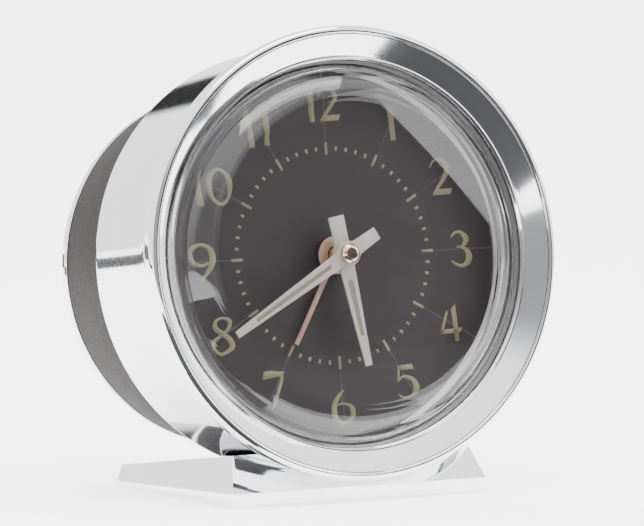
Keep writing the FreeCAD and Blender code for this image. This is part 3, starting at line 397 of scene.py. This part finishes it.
def lathe(profile, segments=SEGMENTS, flute=None):
    """A turned mesh from a closed outline of (r, w) points in millimetres."""
    bm = bmesh.new()
    rings = []
    for r, w in profile:
        if r < 1e-6:
            rings.append([bm.verts.new((0.0, 0.0, w * MM))] * segments)
            continue
        ring = []
        for k in range(segments):
            a = 2 * math.pi * k / segments
            reach = r * (flute(a, w) if flute else 1.0) * MM
            ring.append(bm.verts.new((reach * math.cos(a), reach * math.sin(a), w * MM)))
        rings.append(ring)
    for one, two in zip(rings, rings[1:] + rings[:1]):
        for k in range(segments):
            corners = [one[k], one[k - 1], two[k - 1], two[k]]
            unique = list(dict.fromkeys(corners))
            if len(unique) > 2:
                bm.faces.new(unique)
    bmesh.ops.recalc_face_normals(bm, faces=bm.faces)
    mesh = bpy.data.meshes.new("turned")
    bm.to_mesh(mesh)
    bm.free()
    return mesh


def face_places(mesh):
    """Each face of a placed mesh with its distance from the clock's axis and how far it faces forward."""
    return [(face, (TO_CLOCK @ face.center).xy.length / MM, face.normal.dot(AXIS))
            for face in mesh.polygons]


def turned(angle_deg):
    """The clock's place turned clockwise about its axis."""
    return CLOCK @ Matrix.Rotation(-math.radians(angle_deg), 4, "Z")


def flat_mesh(outlines, w0, w1, edge):
    """A flat plate from closed outlines (the first is outside, the rest are holes), edges eased."""
    curve = bpy.data.curves.new("outline", "CURVE")
    curve.dimensions = "2D"
    curve.fill_mode = "BOTH"
    curve.bevel_depth = edge * MM
    curve.bevel_resolution = 2
    curve.offset = -edge * MM
    curve.extrude = ((w1 - w0) / 2 - edge) * MM
    for outline in outlines:
        spline = curve.splines.new("POLY")
        spline.points.add(len(outline) - 1)
        for point, (x, v) in zip(spline.points, outline):
            point.co = (x * MM, v * MM, 0.0, 1.0)
        spline.use_cyclic_u = True
    holder = bpy.data.objects.new("outline", curve)
    bpy.context.scene.collection.objects.link(holder)
    bpy.context.view_layer.update()
    mesh = bpy.data.meshes.new_from_object(holder)
    bpy.data.objects.remove(holder)
    mesh.transform(Matrix.Translation((0.0, 0.0, (w0 + w1) / 2 * MM)))
    bm = bmesh.new()
    bm.from_mesh(mesh)
    bmesh.ops.remove_doubles(bm, verts=bm.verts, dist=1e-7)
    bm.to_mesh(mesh)
    bm.free()
    return mesh


# ---------------------------------------------------------------- case
def make_bezel():
    """Rolled rim, a fine step line, a dished face and the lip that holds the crystal."""
    seam, front = levels("front_bezel")
    r = max(point.xy.length for point in local_points("front_bezel"))
    profile = rounded([
        (r - 1.68, seam + 0.02, 0.1), (r - 1.35, seam + 0.6, 0.3), (r - 0.45, front - 4.2, 3.0),
        (r - 0.03, front - 1.5, 1.6), (r - 0.35, front - 0.35, 0.8), (r - 1.1, front - 0.02, 0.5),
        (r - 1.5, front - 0.2, 0.15), (r - 1.6, front - 0.5, 0.05), (r - 1.78, front - 0.48, 0.08),
        (38.3, 8.62, 4.0), (37.4, 8.12, 0.25), (37.15, 8.2, 0.1), (36.68, 7.75, 0.2),
        (36.62, 7.0), (37.5, 7.0), (r - 2.2, front - 1.8), (r - 1.5, front - 2.1), (r - 2.2, seam + 0.02)])
    mesh = lathe(profile)
    keep("bezel", mesh, "chrome", "case", ("front_bezel",))
    mesh.materials.append(MATERIALS["chrome_satin"])
    for face, reach, facing in face_places(mesh):
        if 37.6 < reach < r - 1.9 and facing > 0.3:
            face.material_index = 1


def make_crystal():
    """Moulded dome: a shallow top, a round shoulder, an upright wall and a flange."""
    top = levels("crystal")[1]
    outer, wall = 36.2, 1.2
    profile = rounded([
        (0.0, top - wall), (16.0, top - wall - 0.42), (31.2, 10.5, 8.0), (outer - wall, 6.4, 4.0),
        (outer - wall, 3.25), (39.3, 3.25), (39.3, 4.15), (outer, 4.15, 0.1), (outer, 6.9, 5.0),
        (32.2, 11.55, 7.0), (16.0, top - 0.46), (0.0, top)], steps=12)
    keep("crystal_dome", lathe(profile), "clear_crystal", "case", ("crystal",), sharp=50.0)


def make_retainer():
    """The pale ring inside the crystal's wall."""
    profile = rounded([(35.25, 0.05), (39.5, 0.05), (39.5, 3.1), (36.2, 3.1, 0.2), (35.5, 2.6, 0.3),
                       (35.25, 1.2, 0.2)])
    keep("crystal_ring", lathe(profile), "grey_ring", "case", ("crystal_retainer",))


def make_band():
    """A bead behind the bezel, then a barely tapered band."""
    rear, front = levels("case_band")
    r_front = 41.1
    r_rear = 40.3
    profile = rounded([
        (40.3, front), (r_front + 0.42, front, 0.15), (r_front + 0.46, front - 0.45, 0.15),
        (r_front + 0.1, front - 0.8, 0.4), (r_front, front - 2.2, 2.0), (r_rear, rear + 0.9, 1.5),
        (r_rear - 0.15, rear + 0.2, 0.4), (r_rear - 0.8, rear + 0.02, 0.2), (r_rear - 0.8, -14.6),
        (40.0, -14.0)])
    keep("band", lathe(profile), "chrome", "case", ("case_band",))


def make_shell():
    """The painted body, straight where it enters the band and then tapered."""
    rear = levels("back_shell")[0]
    front = -20.0
    profile = rounded([(38.6, -15.2), (39.4, -15.2), (39.4, front - 0.1, 0.3), (34.4, rear + 0.1, 0.5),
                       (30.6, rear + 0.1), (30.6, rear + 0.8), (33.5, rear + 0.8), (38.6, front)])
    keep("shell", lathe(profile), "shell_paint", "case", ("back_shell",))


def make_rear_rim():
    """The bright rolled rim round the back cover."""
    rear, front = levels("back_rim")
    profile = rounded([
        (30.7, front), (34.5, front, 0.1), (34.45, front - 1.1, 0.4), (34.0, rear + 1.0, 1.0),
        (33.6, rear + 0.05, 0.5), (32.6, rear + 0.1, 0.3), (32.15, rear + 0.8, 0.2),
        (32.15, front - 1.35), (30.7, front - 1.35)])
    keep("rear_rim", lathe(profile), "chrome", "case", ("back_rim",))


# ---------------------------------------------------------------- dial print
# Each numeral is faces of (x, y) corners and pen strokes of (x, y, width), in units of its height.
ONE = [("face", [(0.055, 0.0), (0.2, 0.0), (0.16, 1.0), (0.0, 0.87)])]
TWO = [("stroke", [(0.02, 0.76, 0.03), (0.11, 0.91, 0.055), (0.27, 0.965, 0.07), (0.44, 0.87, 0.115),
                   (0.475, 0.67, 0.14), (0.37, 0.43, 0.115), (0.20, 0.20, 0.08), (0.08, 0.04, 0.06)]),
       ("face", [(0.04, 0.0), (0.55, 0.02), (0.60, 0.18), (0.19, 0.165)])]
THREE = [("stroke", [(0.03, 0.82, 0.03), (0.13, 0.93, 0.07), (0.29, 0.95, 0.095), (0.44, 0.80, 0.16),
                     (0.415, 0.66, 0.13), (0.31, 0.568, 0.07), (0.17, 0.555, 0.04)]),
         ("stroke", [(0.17, 0.555, 0.04), (0.32, 0.54, 0.06), (0.45, 0.455, 0.125), (0.505, 0.30, 0.17),
                     (0.45, 0.135, 0.15), (0.30, 0.05, 0.095), (0.14, 0.095, 0.07), (0.0, 0.205, 0.03)])]
FOUR = [("face", [(0.43, 0.0), (0.55, 0.0), (0.49, 1.0), (0.36, 0.87)]),
        ("face", [(0.0, 0.20), (0.23, 0.84), (0.275, 0.79), (0.12, 0.26)]),
        ("face", [(0.0, 0.20), (0.60, 0.24), (0.65, 0.36), (0.07, 0.33)])]
FIVE = [("face", [(0.03, 0.975), (0.43, 0.995), (0.475, 0.85), (0.03, 0.83)]),
        ("face", [(0.03, 0.975), (0.10, 0.975), (0.065, 0.56), (0.0, 0.535)]),
        ("stroke", [(0.02, 0.55, 0.055), (0.15, 0.655, 0.065), (0.30, 0.645, 0.10), (0.445, 0.545, 0.135),
                    (0.52, 0.355, 0.17), (0.457, 0.165, 0.145), (0.30, 0.055, 0.10), (0.14, 0.10, 0.075),
                    (0.01, 0.205, 0.025)])]
SIX = [("stroke", [(0.38, 0.985, 0.035), (0.255, 0.845, 0.09), (0.127, 0.63, 0.13), (0.077, 0.38, 0.153),
                   (0.15, 0.145, 0.13), (0.37, 0.045, 0.09), (0.56, 0.165, 0.125), (0.59, 0.33, 0.145),
                   (0.52, 0.53, 0.125), (0.34, 0.60, 0.09), (0.18, 0.53, 0.05)])]
SEVEN = [("face", [(0.0, 0.78), (0.05, 0.985), (0.63, 1.0), (0.52, 0.83), (0.06, 0.78)]),
         ("face", [(0.63, 1.0), (0.49, 0.83), (0.21, 0.0), (0.36, 0.11)])]
EIGHT = [("loop", [(0.32, 0.54, 0.13), (0.15, 0.70, 0.12), (0.14, 0.88, 0.08), (0.30, 0.96, 0.07),
                   (0.47, 0.88, 0.10), (0.46, 0.70, 0.09), (0.31, 0.54, 0.07), (0.12, 0.38, 0.10),
                   (0.09, 0.20, 0.12), (0.30, 0.045, 0.08), (0.53, 0.18, 0.13), (0.48, 0.38, 0.13)])]
NOUGHT = [("loop", [(0.31, 0.955, 0.085), (0.51, 0.80, 0.12), (0.565, 0.5, 0.145), (0.51, 0.2, 0.12),
                    (0.31, 0.045, 0.09), (0.12, 0.2, 0.11), (0.065, 0.5, 0.125), (0.12, 0.8, 0.11)])]


def turned_over(strokes):
    """A glyph turned half way round, so a six becomes a nine."""
    wide = max(p[0] + p[2] / 2 for _, points in strokes for p in points)
    return [(kind, [(wide - p[0], 1 - p[1], p[2]) for p in points]) for kind, points in strokes]


GLYPHS = {"0": NOUGHT, "1": ONE, "2": TWO, "3": THREE, "4": FOUR, "5": FIVE, "6": SIX, "7": SEVEN,
          "8": EIGHT, "9": turned_over(SIX)}
GAPS = {"10": 0.10, "11": 0.25, "12": 0.10}    # between two figures


def smooth_path(points, closed, per_span=9):
    """A curve through (x, y, width) points."""
    count = len(points)
    spans = count if closed else count - 1
    out = []
    for i in range(spans):
        if closed:
            four = [points[(i + k) % count] for k in (-1, 0, 1, 2)]
        else:
            four = [points[min(max(i + k, 0), count - 1)] for k in (-1, 0, 1, 2)]
        a, b, c, d = (Vector(p) for p in four)
        for k in range(per_span):
            t = k / per_span
            out.append(0.5 * ((2 * b) + (c - a) * t + (2 * a - 5 * b + 4 * c - d) * t ** 2
                              + (3 * b - a - 3 * c + d) * t ** 3))
    if not closed:
        out.append(Vector(points[-1]))
    return out


def add_stroke(bm, points, closed, place):
    """A flat pen stroke of changing width."""
    path = smooth_path(points, closed)
    count = len(path)
    sides = []
    for i, here in enumerate(path):
        before = path[i - 1] if closed or i else here
        after = path[(i + 1) % count] if closed or i < count - 1 else here
        along = (after - before).xy.normalized()
        side = Vector((-along.y, along.x)) * here.z / 2
        sides.append([bm.verts.new(place(here.x + s * side.x, here.y + s * side.y)) for s in (-1, 1)])
    last = count if closed else count - 1
    for i in range(last):
        one, two = sides[i], sides[(i + 1) % count]
        bm.faces.new([one[0], one[1], two[1], two[0]])


def glyph_span(strokes):
    """A glyph's left and right ends."""
    xs = []
    for kind, points in strokes:
        for p in points:
            half = p[2] / 2 if kind != "face" else 0.0
            xs += [p[0] - half, p[0] + half]
    return min(xs), max(xs)


def add_numeral(bm, text, middle):
    """An upright numeral centred on a point of the dial."""
    gap = GAPS.get(text, 0.0)
    spans = [glyph_span(GLYPHS[c]) for c in text]
    total = sum(high - low for low, high in spans) + gap * (len(text) - 1)
    pen = -total / 2
    for character, (low, high) in zip(text, spans):
        start = pen - low

        def place(x, y, start=start):
            return ((middle[0] + (x + start) * NUMERAL_STRETCH * NUMERAL_HEIGHT) * MM,
                    (middle[1] + (y - 0.5) * NUMERAL_HEIGHT) * MM, PRINT_LIFT * MM)

        for kind, points in GLYPHS[character]:
            if kind == "face":
                bm.faces.new([bm.verts.new(place(x, y)) for x, y in points])
            else:
                add_stroke(bm, points, kind == "loop", place)
        pen += high - low + gap


def add_bar(bm, angle_deg, r0, r1, wide):
    """A printed bar that points at the dial's centre."""
    a = math.radians(angle_deg)
    out, side = Vector((math.sin(a), math.cos(a))), Vector((math.cos(a), -math.sin(a))) * wide / 2
    corners = [out * r0 - side, out * r0 + side, out * r1 + side, out * r1 - side]
    bm.faces.new([bm.verts.new((c.x * MM, c.y * MM, PRINT_LIFT * MM)) for c in corners])


def print_piece(name, bm, material):
    """Closes printed faces into thin solids."""
    bmesh.ops.recalc_face_normals(bm, faces=bm.faces)
    for face in bm.faces:
        if face.normal.z < 0:
            face.normal_flip()
    mesh = bpy.data.meshes.new(name)
    bm.to_mesh(mesh)
    bm.free()
    piece = keep(name, mesh, material, "case")
    thick = piece.modifiers.new("thickness", "SOLIDIFY")
    thick.thickness = PRINT_THICKNESS * MM
    thick.offset = -1.0


def make_dial():
    """The dial with its printed numerals, bars, dashes and thin hour lines."""
    disc = rounded([(DIAL_HOLE, -DIAL_THICKNESS), (DIAL_HOLE, 0.0), (DIAL_RADIUS, 0.0),
                    (DIAL_RADIUS, -DIAL_THICKNESS)])
    keep("dial_disc", lathe(disc), "dial_print", "case", ("dial",))
    ink = bmesh.new()
    for hour in range(1, 13):
        a = math.radians(30 * hour)
        reach = NUMERAL_INNER + math.hypot(NUMERAL_HALF_WIDTH * math.sin(a),
                                           NUMERAL_HEIGHT / 2 * math.cos(a))
        add_numeral(ink, str(hour), (reach * math.sin(a), reach * math.cos(a)))
        add_bar(ink, 30 * hour, TICK_INNER, TICK_OUTER, TICK_WIDTH)
        for minute in range(1, 5):
            add_bar(ink, 30 * hour + 6 * minute, DASH_RADIUS - DASH_HALF_LENGTH,
                    DASH_RADIUS + DASH_HALF_LENGTH, DASH_WIDTH)
    print_piece("dial_numerals", ink, "numeral_ink")
    lines = bmesh.new()
    for hour in range(12):
        add_bar(lines, 30 * hour, TICK_OUTER + LINE_GAP, LINE_OUTER, LINE_WIDTH)
    bmesh.ops.translate(lines, verts=lines.verts, vec=(0.0, 0.0, -LINE_DROP * MM))
    print_piece("dial_hour_lines", lines, "line_ink")


# ---------------------------------------------------------------- hands
def hand_outline(tip, tail, wide, tail_wide):
    """A tapered hand pointing up, with a round hub and a tail."""
    blade = wide / 2
    arc = [math.radians(degrees) for degrees in range(24, -25, -8)]
    hub_side = [(HUB_RADIUS * math.cos(a), HUB_RADIUS * math.sin(a)) for a in arc
                if HUB_RADIUS * math.cos(a) > blade]
    right = [(TIP_HALF_WIDTH, tip), (blade, 2.2), *hub_side, (blade * 0.96, -2.2), (tail_wide / 2, -tail)]
    left = [(-x, y) for x, y in reversed(right)]
    return right + left


def slot_outline(low, high, wide_low, wide_high):
    """A long slot with a round inner end."""
    arc = [(wide_low / 2 * math.cos(a), low + wide_low / 2 * math.sin(a))
           for a in (math.radians(180 + 15 * k) for k in range(13))]
    return arc + [(wide_high / 2, high), (-wide_high / 2, high)]


def make_hand(name, angle, body, tip, tail, wide, tail_wide, slot):
    """A slotted hand and the insert in its slot."""
    rear, front = levels(name)
    blade = flat_mesh([hand_outline(tip, tail, wide, tail_wide), slot_outline(*slot)], rear, front, 0.06)
    keep(f"{name}_blade", blade, "hand_paint", body, (name,), turned(angle))
    insert = flat_mesh([slot_outline(*slot)], rear + 0.05, front - 0.1, 0.01)
    keep(f"{name}_insert", insert, "lume", body, (), turned(angle))


def make_hands():
    """The two slotted hands, the alarm hand with its disc, and the cap in front."""
    make_hand("minute_hand", MINUTE_ANGLE, "minute_shaft", 28.4, 7.3, 3.0, 2.5, (4.9, 23.4, 0.8, 0.75))
    make_hand("hour_hand", HOUR_ANGLE, "hour_pipe", 21.6, 7.3, 3.3, 3.3, (5.5, 15.8, 1.1, 0.75))
    rear, front = levels("alarm_hand")
    blade = [(-0.42, 19.0), (0.42, 19.0), (0.5, 3.0), (-0.5, 3.0)]
    keep("alarm_hand_blade", flat_mesh([blade], rear, front, 0.04), "copper", "alarm_pipe",
         ("alarm_hand",), turned(ALARM_ANGLE))
    disc = rounded([(1.85, rear), (1.85, front + 0.3, 0.1), (2.6, front + 0.25, 0.2), (3.6, front, 0.15),
                    (3.6, rear, 0.1)])
    keep("alarm_hand_disc", lathe(disc, HAND_SEGMENTS), "copper", "alarm_pipe")
    rear, front = levels("hand_cap")
    cap = rounded([(0.0, rear), (1.85, rear, 0.1), (1.9, rear + 0.9, 0.5), (1.3, front - 0.05, 0.8),
                   (0.0, front)], 10)
    keep("hand_boss", lathe(cap, HAND_SEGMENTS), "polished_brass", "minute_shaft",
         ("hand_cap",))


# ---------------------------------------------------------------- stand
def cut_above(bm, p, q, r):
    """Slices off what lies above the plane through three points, and closes the cut."""
    normal = (q - p).cross(r - p).normalized()
    if normal.z < 0:
        normal.negate()
    found = bmesh.ops.bisect_plane(bm, geom=bm.verts[:] + bm.edges[:] + bm.faces[:], dist=1e-7,
                                   plane_co=p, plane_no=normal, clear_outer=True)
    edges = [g for g in found["geom_cut"] if isinstance(g, bmesh.types.BMEdge)]
    bmesh.ops.contextual_create(bm, geom=edges)


def make_stand():
    """A wedge with sloped sides, hollowed out for the case."""
    low, high = (Vector(c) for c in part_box("base_stand"))
    half, front, rear = high.x, low.y, high.y
    bm = bmesh.new()
    bmesh.ops.create_cube(bm, size=1.0)
    for vertex in bm.verts:
        vertex.co = ((half if vertex.co.x > 0 else -half), (rear if vertex.co.y > 0 else front),
                     (STAND_BLANK * MM if vertex.co.z > 0 else 0.0))
    inner = half - STAND_HIP_IN * MM
    hip_front = (front + STAND_HIP_FRONT_IN * MM, STAND_HIP_FRONT * MM)
    hip_rear = (rear - STAND_HIP_REAR_IN * MM, STAND_HIP_REAR * MM)
    skirt_front = (front, STAND_SKIRT_FRONT * MM)
    skirt_rear = (rear, STAND_SKIRT_REAR * MM)
    cut_above(bm, Vector((-inner, *hip_front)), Vector((inner, *hip_front)), Vector((0, *hip_rear)))
    cut_above(bm, Vector((-half, *skirt_front)), Vector((half, *skirt_front)), Vector((0, *hip_front)))
    cut_above(bm, Vector((half, *skirt_rear)), Vector((-half, *skirt_rear)), Vector((0, *hip_rear)))
    for side in (-1, 1):
        cut_above(bm, Vector((side * half, *skirt_front)), Vector((side * half, *skirt_rear)),
                  Vector((side * inner, *hip_front)))
    bmesh.ops.recalc_face_normals(bm, faces=bm.faces)
    mesh = bpy.data.meshes.new("stand")
    bm.to_mesh(mesh)
    bm.free()
    piece = keep("stand", mesh, "chrome", "case", ("base_stand",), Matrix.Identity(4), 20.0)
    cutter = bpy.data.objects.new("saddle_cutter", lathe(SADDLE, SADDLE_SEGMENTS))
    bpy.context.scene.collection.objects.link(cutter)
    cutter.matrix_world = CLOCK
    saddle = piece.modifiers.new("saddle", "BOOLEAN")
    saddle.object = cutter
    saddle.operation = "DIFFERENCE"
    saddle.solver = "EXACT"
    ease = piece.modifiers.new("edges", "BEVEL")
    ease.width = STAND_EDGE * MM
    ease.segments = 3
    ease.limit_method = "ANGLE"
    ease.angle_limit = math.radians(18)
    ease.harden_normals = True
    bpy.context.view_layer.update()
    shaped = piece.evaluated_get(bpy.context.evaluated_depsgraph_get())
    finished = bpy.data.meshes.new_from_object(shaped)
    piece.modifiers.clear()
    piece.data = finished
    bpy.data.objects.remove(cutter)


# ---------------------------------------------------------------- back
def make_knob(node, body, name):
    """A setting knob with a neck, fluted round its edge."""
    rear, front = levels(node)
    profile = rounded([(0.0, front), (2.0, front), (2.0, front - 1.0), (3.2, front - 1.05, 0.3),
                       (3.3, rear + 0.5, 0.45), (2.7, rear, 0.4), (0.0, rear + 0.3)])

    def flute(angle, level):
        inside = front - 1.2 > level > rear + 0.4
        wave = (0.5 + 0.5 * math.cos(KNOB_FLUTES * angle)) ** 2
        return 1.0 - (KNOB_FLUTE_DEPTH * wave if inside else 0.0)

    place = CLOCK @ Matrix.Translation(Vector((*centre_of(node), 0.0)) * MM)
    keep(name, lathe(profile, KNOB_SEGMENTS, flute), "black_knob", body, (node,), place)


# ---------------------------------------------------------------- scene
def make_stage():
    """A pale floor."""
    bpy.ops.mesh.primitive_plane_add(size=8.0)
    floor = bpy.context.object
    floor.name = "floor"
    material, _nodes, _links, bsdf = new_material("pale_floor")
    bsdf.inputs["Base Color"].default_value = (0.92, 0.92, 0.92, 1.0)
    bsdf.inputs["Roughness"].default_value = 0.9
    bsdf.inputs["Emission Color"].default_value = (1.0, 1.0, 1.0, 1.0)
    bsdf.inputs["Emission Strength"].default_value = FLOOR_GLOW
    floor.data.materials.append(material)


def area_light(name, at, aim, size, power, across=RIGHT):
    """A soft box, sized in metres, whose first side runs along across."""
    data = bpy.data.lights.new(name, "AREA")
    data.shape = "RECTANGLE"
    data.size, data.size_y = size
    data.energy = power
    lamp = bpy.data.objects.new(name, data)
    bpy.context.scene.collection.objects.link(lamp)
    back = (Vector(at) - Vector(aim)).normalized()
    over = back.cross(across).normalized()
    side = over.cross(back)
    lamp.matrix_world = Matrix((
        (side.x, over.x, back.x, at[0]), (side.y, over.y, back.y, at[1]),
        (side.z, over.z, back.z, at[2]), (0.0, 0.0, 0.0, 1.0)))


def direction_patch(nodes, links, vector, towards, inner_deg, outer_deg):
    """1 within inner_deg of a direction, fading to 0 at outer_deg."""
    dot = nodes.new("ShaderNodeVectorMath")
    dot.operation = "DOT_PRODUCT"
    dot.inputs[1].default_value = Vector(towards).normalized()
    links.new(vector, dot.inputs[0])
    edge = nodes.new("ShaderNodeMapRange")
    edge.interpolation_type = "SMOOTHSTEP"
    edge.inputs["From Min"].default_value = math.cos(math.radians(outer_deg))
    edge.inputs["From Max"].default_value = math.cos(math.radians(inner_deg))
    links.new(dot.outputs["Value"], edge.inputs["Value"])
    return edge.outputs["Result"]


def make_world():
    """White surroundings, with dark gaps between the white walls for the metal to reflect."""
    world = bpy.data.worlds.new("studio")
    bpy.context.scene.world = world
    world.use_nodes = True
    nodes, links = world.node_tree.nodes, world.node_tree.links
    place = nodes.new("ShaderNodeTexCoord")
    level = None
    for towards, inner, outer, dark in DARK_GAPS:
        patch = direction_patch(nodes, links, place.outputs["Generated"], towards, inner, outer)
        scaled = nodes.new("ShaderNodeMapRange")
        scaled.inputs["To Min"].default_value = 1.0
        scaled.inputs["To Max"].default_value = dark
        links.new(patch, scaled.inputs["Value"])
        if level is None:
            level = scaled.outputs["Result"]
            continue
        both = nodes.new("ShaderNodeMath")
        both.operation = "MULTIPLY"
        links.new(level, both.inputs[0])
        links.new(scaled.outputs["Result"], both.inputs[1])
        level = both.outputs["Value"]
    path = nodes.new("ShaderNodeLightPath")
    strength = nodes.new("ShaderNodeMath")
    strength.operation = "MULTIPLY"
    strength.inputs[1].default_value = WALL_BRIGHTNESS
    links.new(level, strength.inputs[0])
    room = nodes.new("ShaderNodeMix")
    links.new(path.outputs["Is Glossy Ray"], room.inputs["Factor"])
    room.inputs["A"].default_value = SOFT_LIGHT
    links.new(strength.outputs["Value"], room.inputs["B"])
    seen = nodes.new("ShaderNodeMix")
    links.new(path.outputs["Is Camera Ray"], seen.inputs["Factor"])
    links.new(room.outputs["Result"], seen.inputs["A"])
    seen.inputs["B"].default_value = BACKDROP_BRIGHTNESS
    links.new(seen.outputs["Result"], nodes["Background"].inputs["Strength"])
    nodes["Background"].inputs["Color"].default_value = (0.985, 0.99, 1.0, 1.0)


def black_card(name, corners):
    """A dark card outside the camera's sight, for the chrome to reflect."""
    bm = bmesh.new()
    bm.faces.new([bm.verts.new(c) for c in corners])
    mesh = bpy.data.meshes.new(name)
    bm.to_mesh(mesh)
    bm.free()
    card = bpy.data.objects.new(name, mesh)
    bpy.context.scene.collection.objects.link(card)
    material, _nodes, _links, bsdf = new_material(name)
    bsdf.inputs["Base Color"].default_value = (0.01, 0.01, 0.012, 1.0)
    bsdf.inputs["Roughness"].default_value = 0.9
    mesh.materials.append(material)
    card.visible_camera = False
    card.visible_shadow = False
    card.visible_diffuse = False


def floor_card(name, start, towards, length, near_half, far_half, height=CARD_LIFT):
    """A card lying on the floor, from a point out along a direction, in metres."""
    ahead = Vector((towards[0], towards[1], 0.0)).normalized()
    side = Vector((-ahead.y, ahead.x, 0.0))
    near = Vector((start[0], start[1], height))
    far = near + ahead * length
    black_card(name, [near - side * near_half, near + side * near_half,
                      far + side * far_half, far - side * far_half])


def make_lights():
    """The white room, two soft boxes, and dark places on the floor."""
    make_world()
    area_light("top_box", (0.05, -0.10, 1.0), (0, 0, 0.04), (0.8, 0.8), 14.0)
    turn = math.radians(GLINT_TURN)
    glint = MIRRORED * math.cos(turn) + GLINT_SIDE * math.sin(turn)
    area_light("crystal_box", CENTRE + glint * GLINT_DISTANCE, CENTRE, (0.75, 0.8), 7.5, GLINT_SIDE)
    # start, direction, length, half widths near and far
    floor_card("front_card", (0.076, -0.141), MIRRORED, 6.0, 0.10, 6.0)
    floor_card("back_line", SIGHT_BACK * 0.6, SIGHT_BACK, 0.8, 0.7, 0.7)
    floor_card("table_edge", (-0.07, -0.052), (0.0, -1.0), 0.42, 0.105, 0.19, 0.0009)
    floor_card("stand_edge", (-0.046, -0.042), (0.0, -1.0), 0.02, 0.022, 0.022, 0.0008)


def make_camera():
    """The camera, turned about the clock and rolled a little."""
    roll = math.radians(CAMERA_ROLL)
    back = TO_CAMERA
    target = Vector((0.0, CENTRE.y - CAMERA_TARGET_AHEAD, CAMERA_TARGET_Z))
    side = Vector((0, 0, 1)).cross(back).normalized()
    up = back.cross(side)
    right = side * math.cos(roll) - up * math.sin(roll)
    over = side * math.sin(roll) + up * math.cos(roll)
    place = target + back * CAMERA_DISTANCE
    data = bpy.data.cameras.new("camera")
    data.sensor_width = 36.0
    data.lens = LENS
    data.shift_x, data.shift_y = SHIFT
    data.clip_start = 0.01
    camera = bpy.data.objects.new("camera", data)
    bpy.context.scene.collection.objects.link(camera)
    camera.matrix_world = Matrix((
        (right.x, over.x, back.x, place.x), (right.y, over.y, back.y, place.y),
        (right.z, over.z, back.z, place.z), (0.0, 0.0, 0.0, 1.0)))
    bpy.context.scene.camera = camera


dress_frame()
make_bezel()
make_crystal()
make_retainer()
make_band()
make_shell()
make_rear_rim()
make_dial()
make_hands()
make_stand()
make_knob("time_set_knob", "minute_shaft", "hand_setting_knob")
make_knob("alarm_set_knob", "alarm_setter", "alarm_setting_knob")
make_stage()
make_lights()
make_camera()
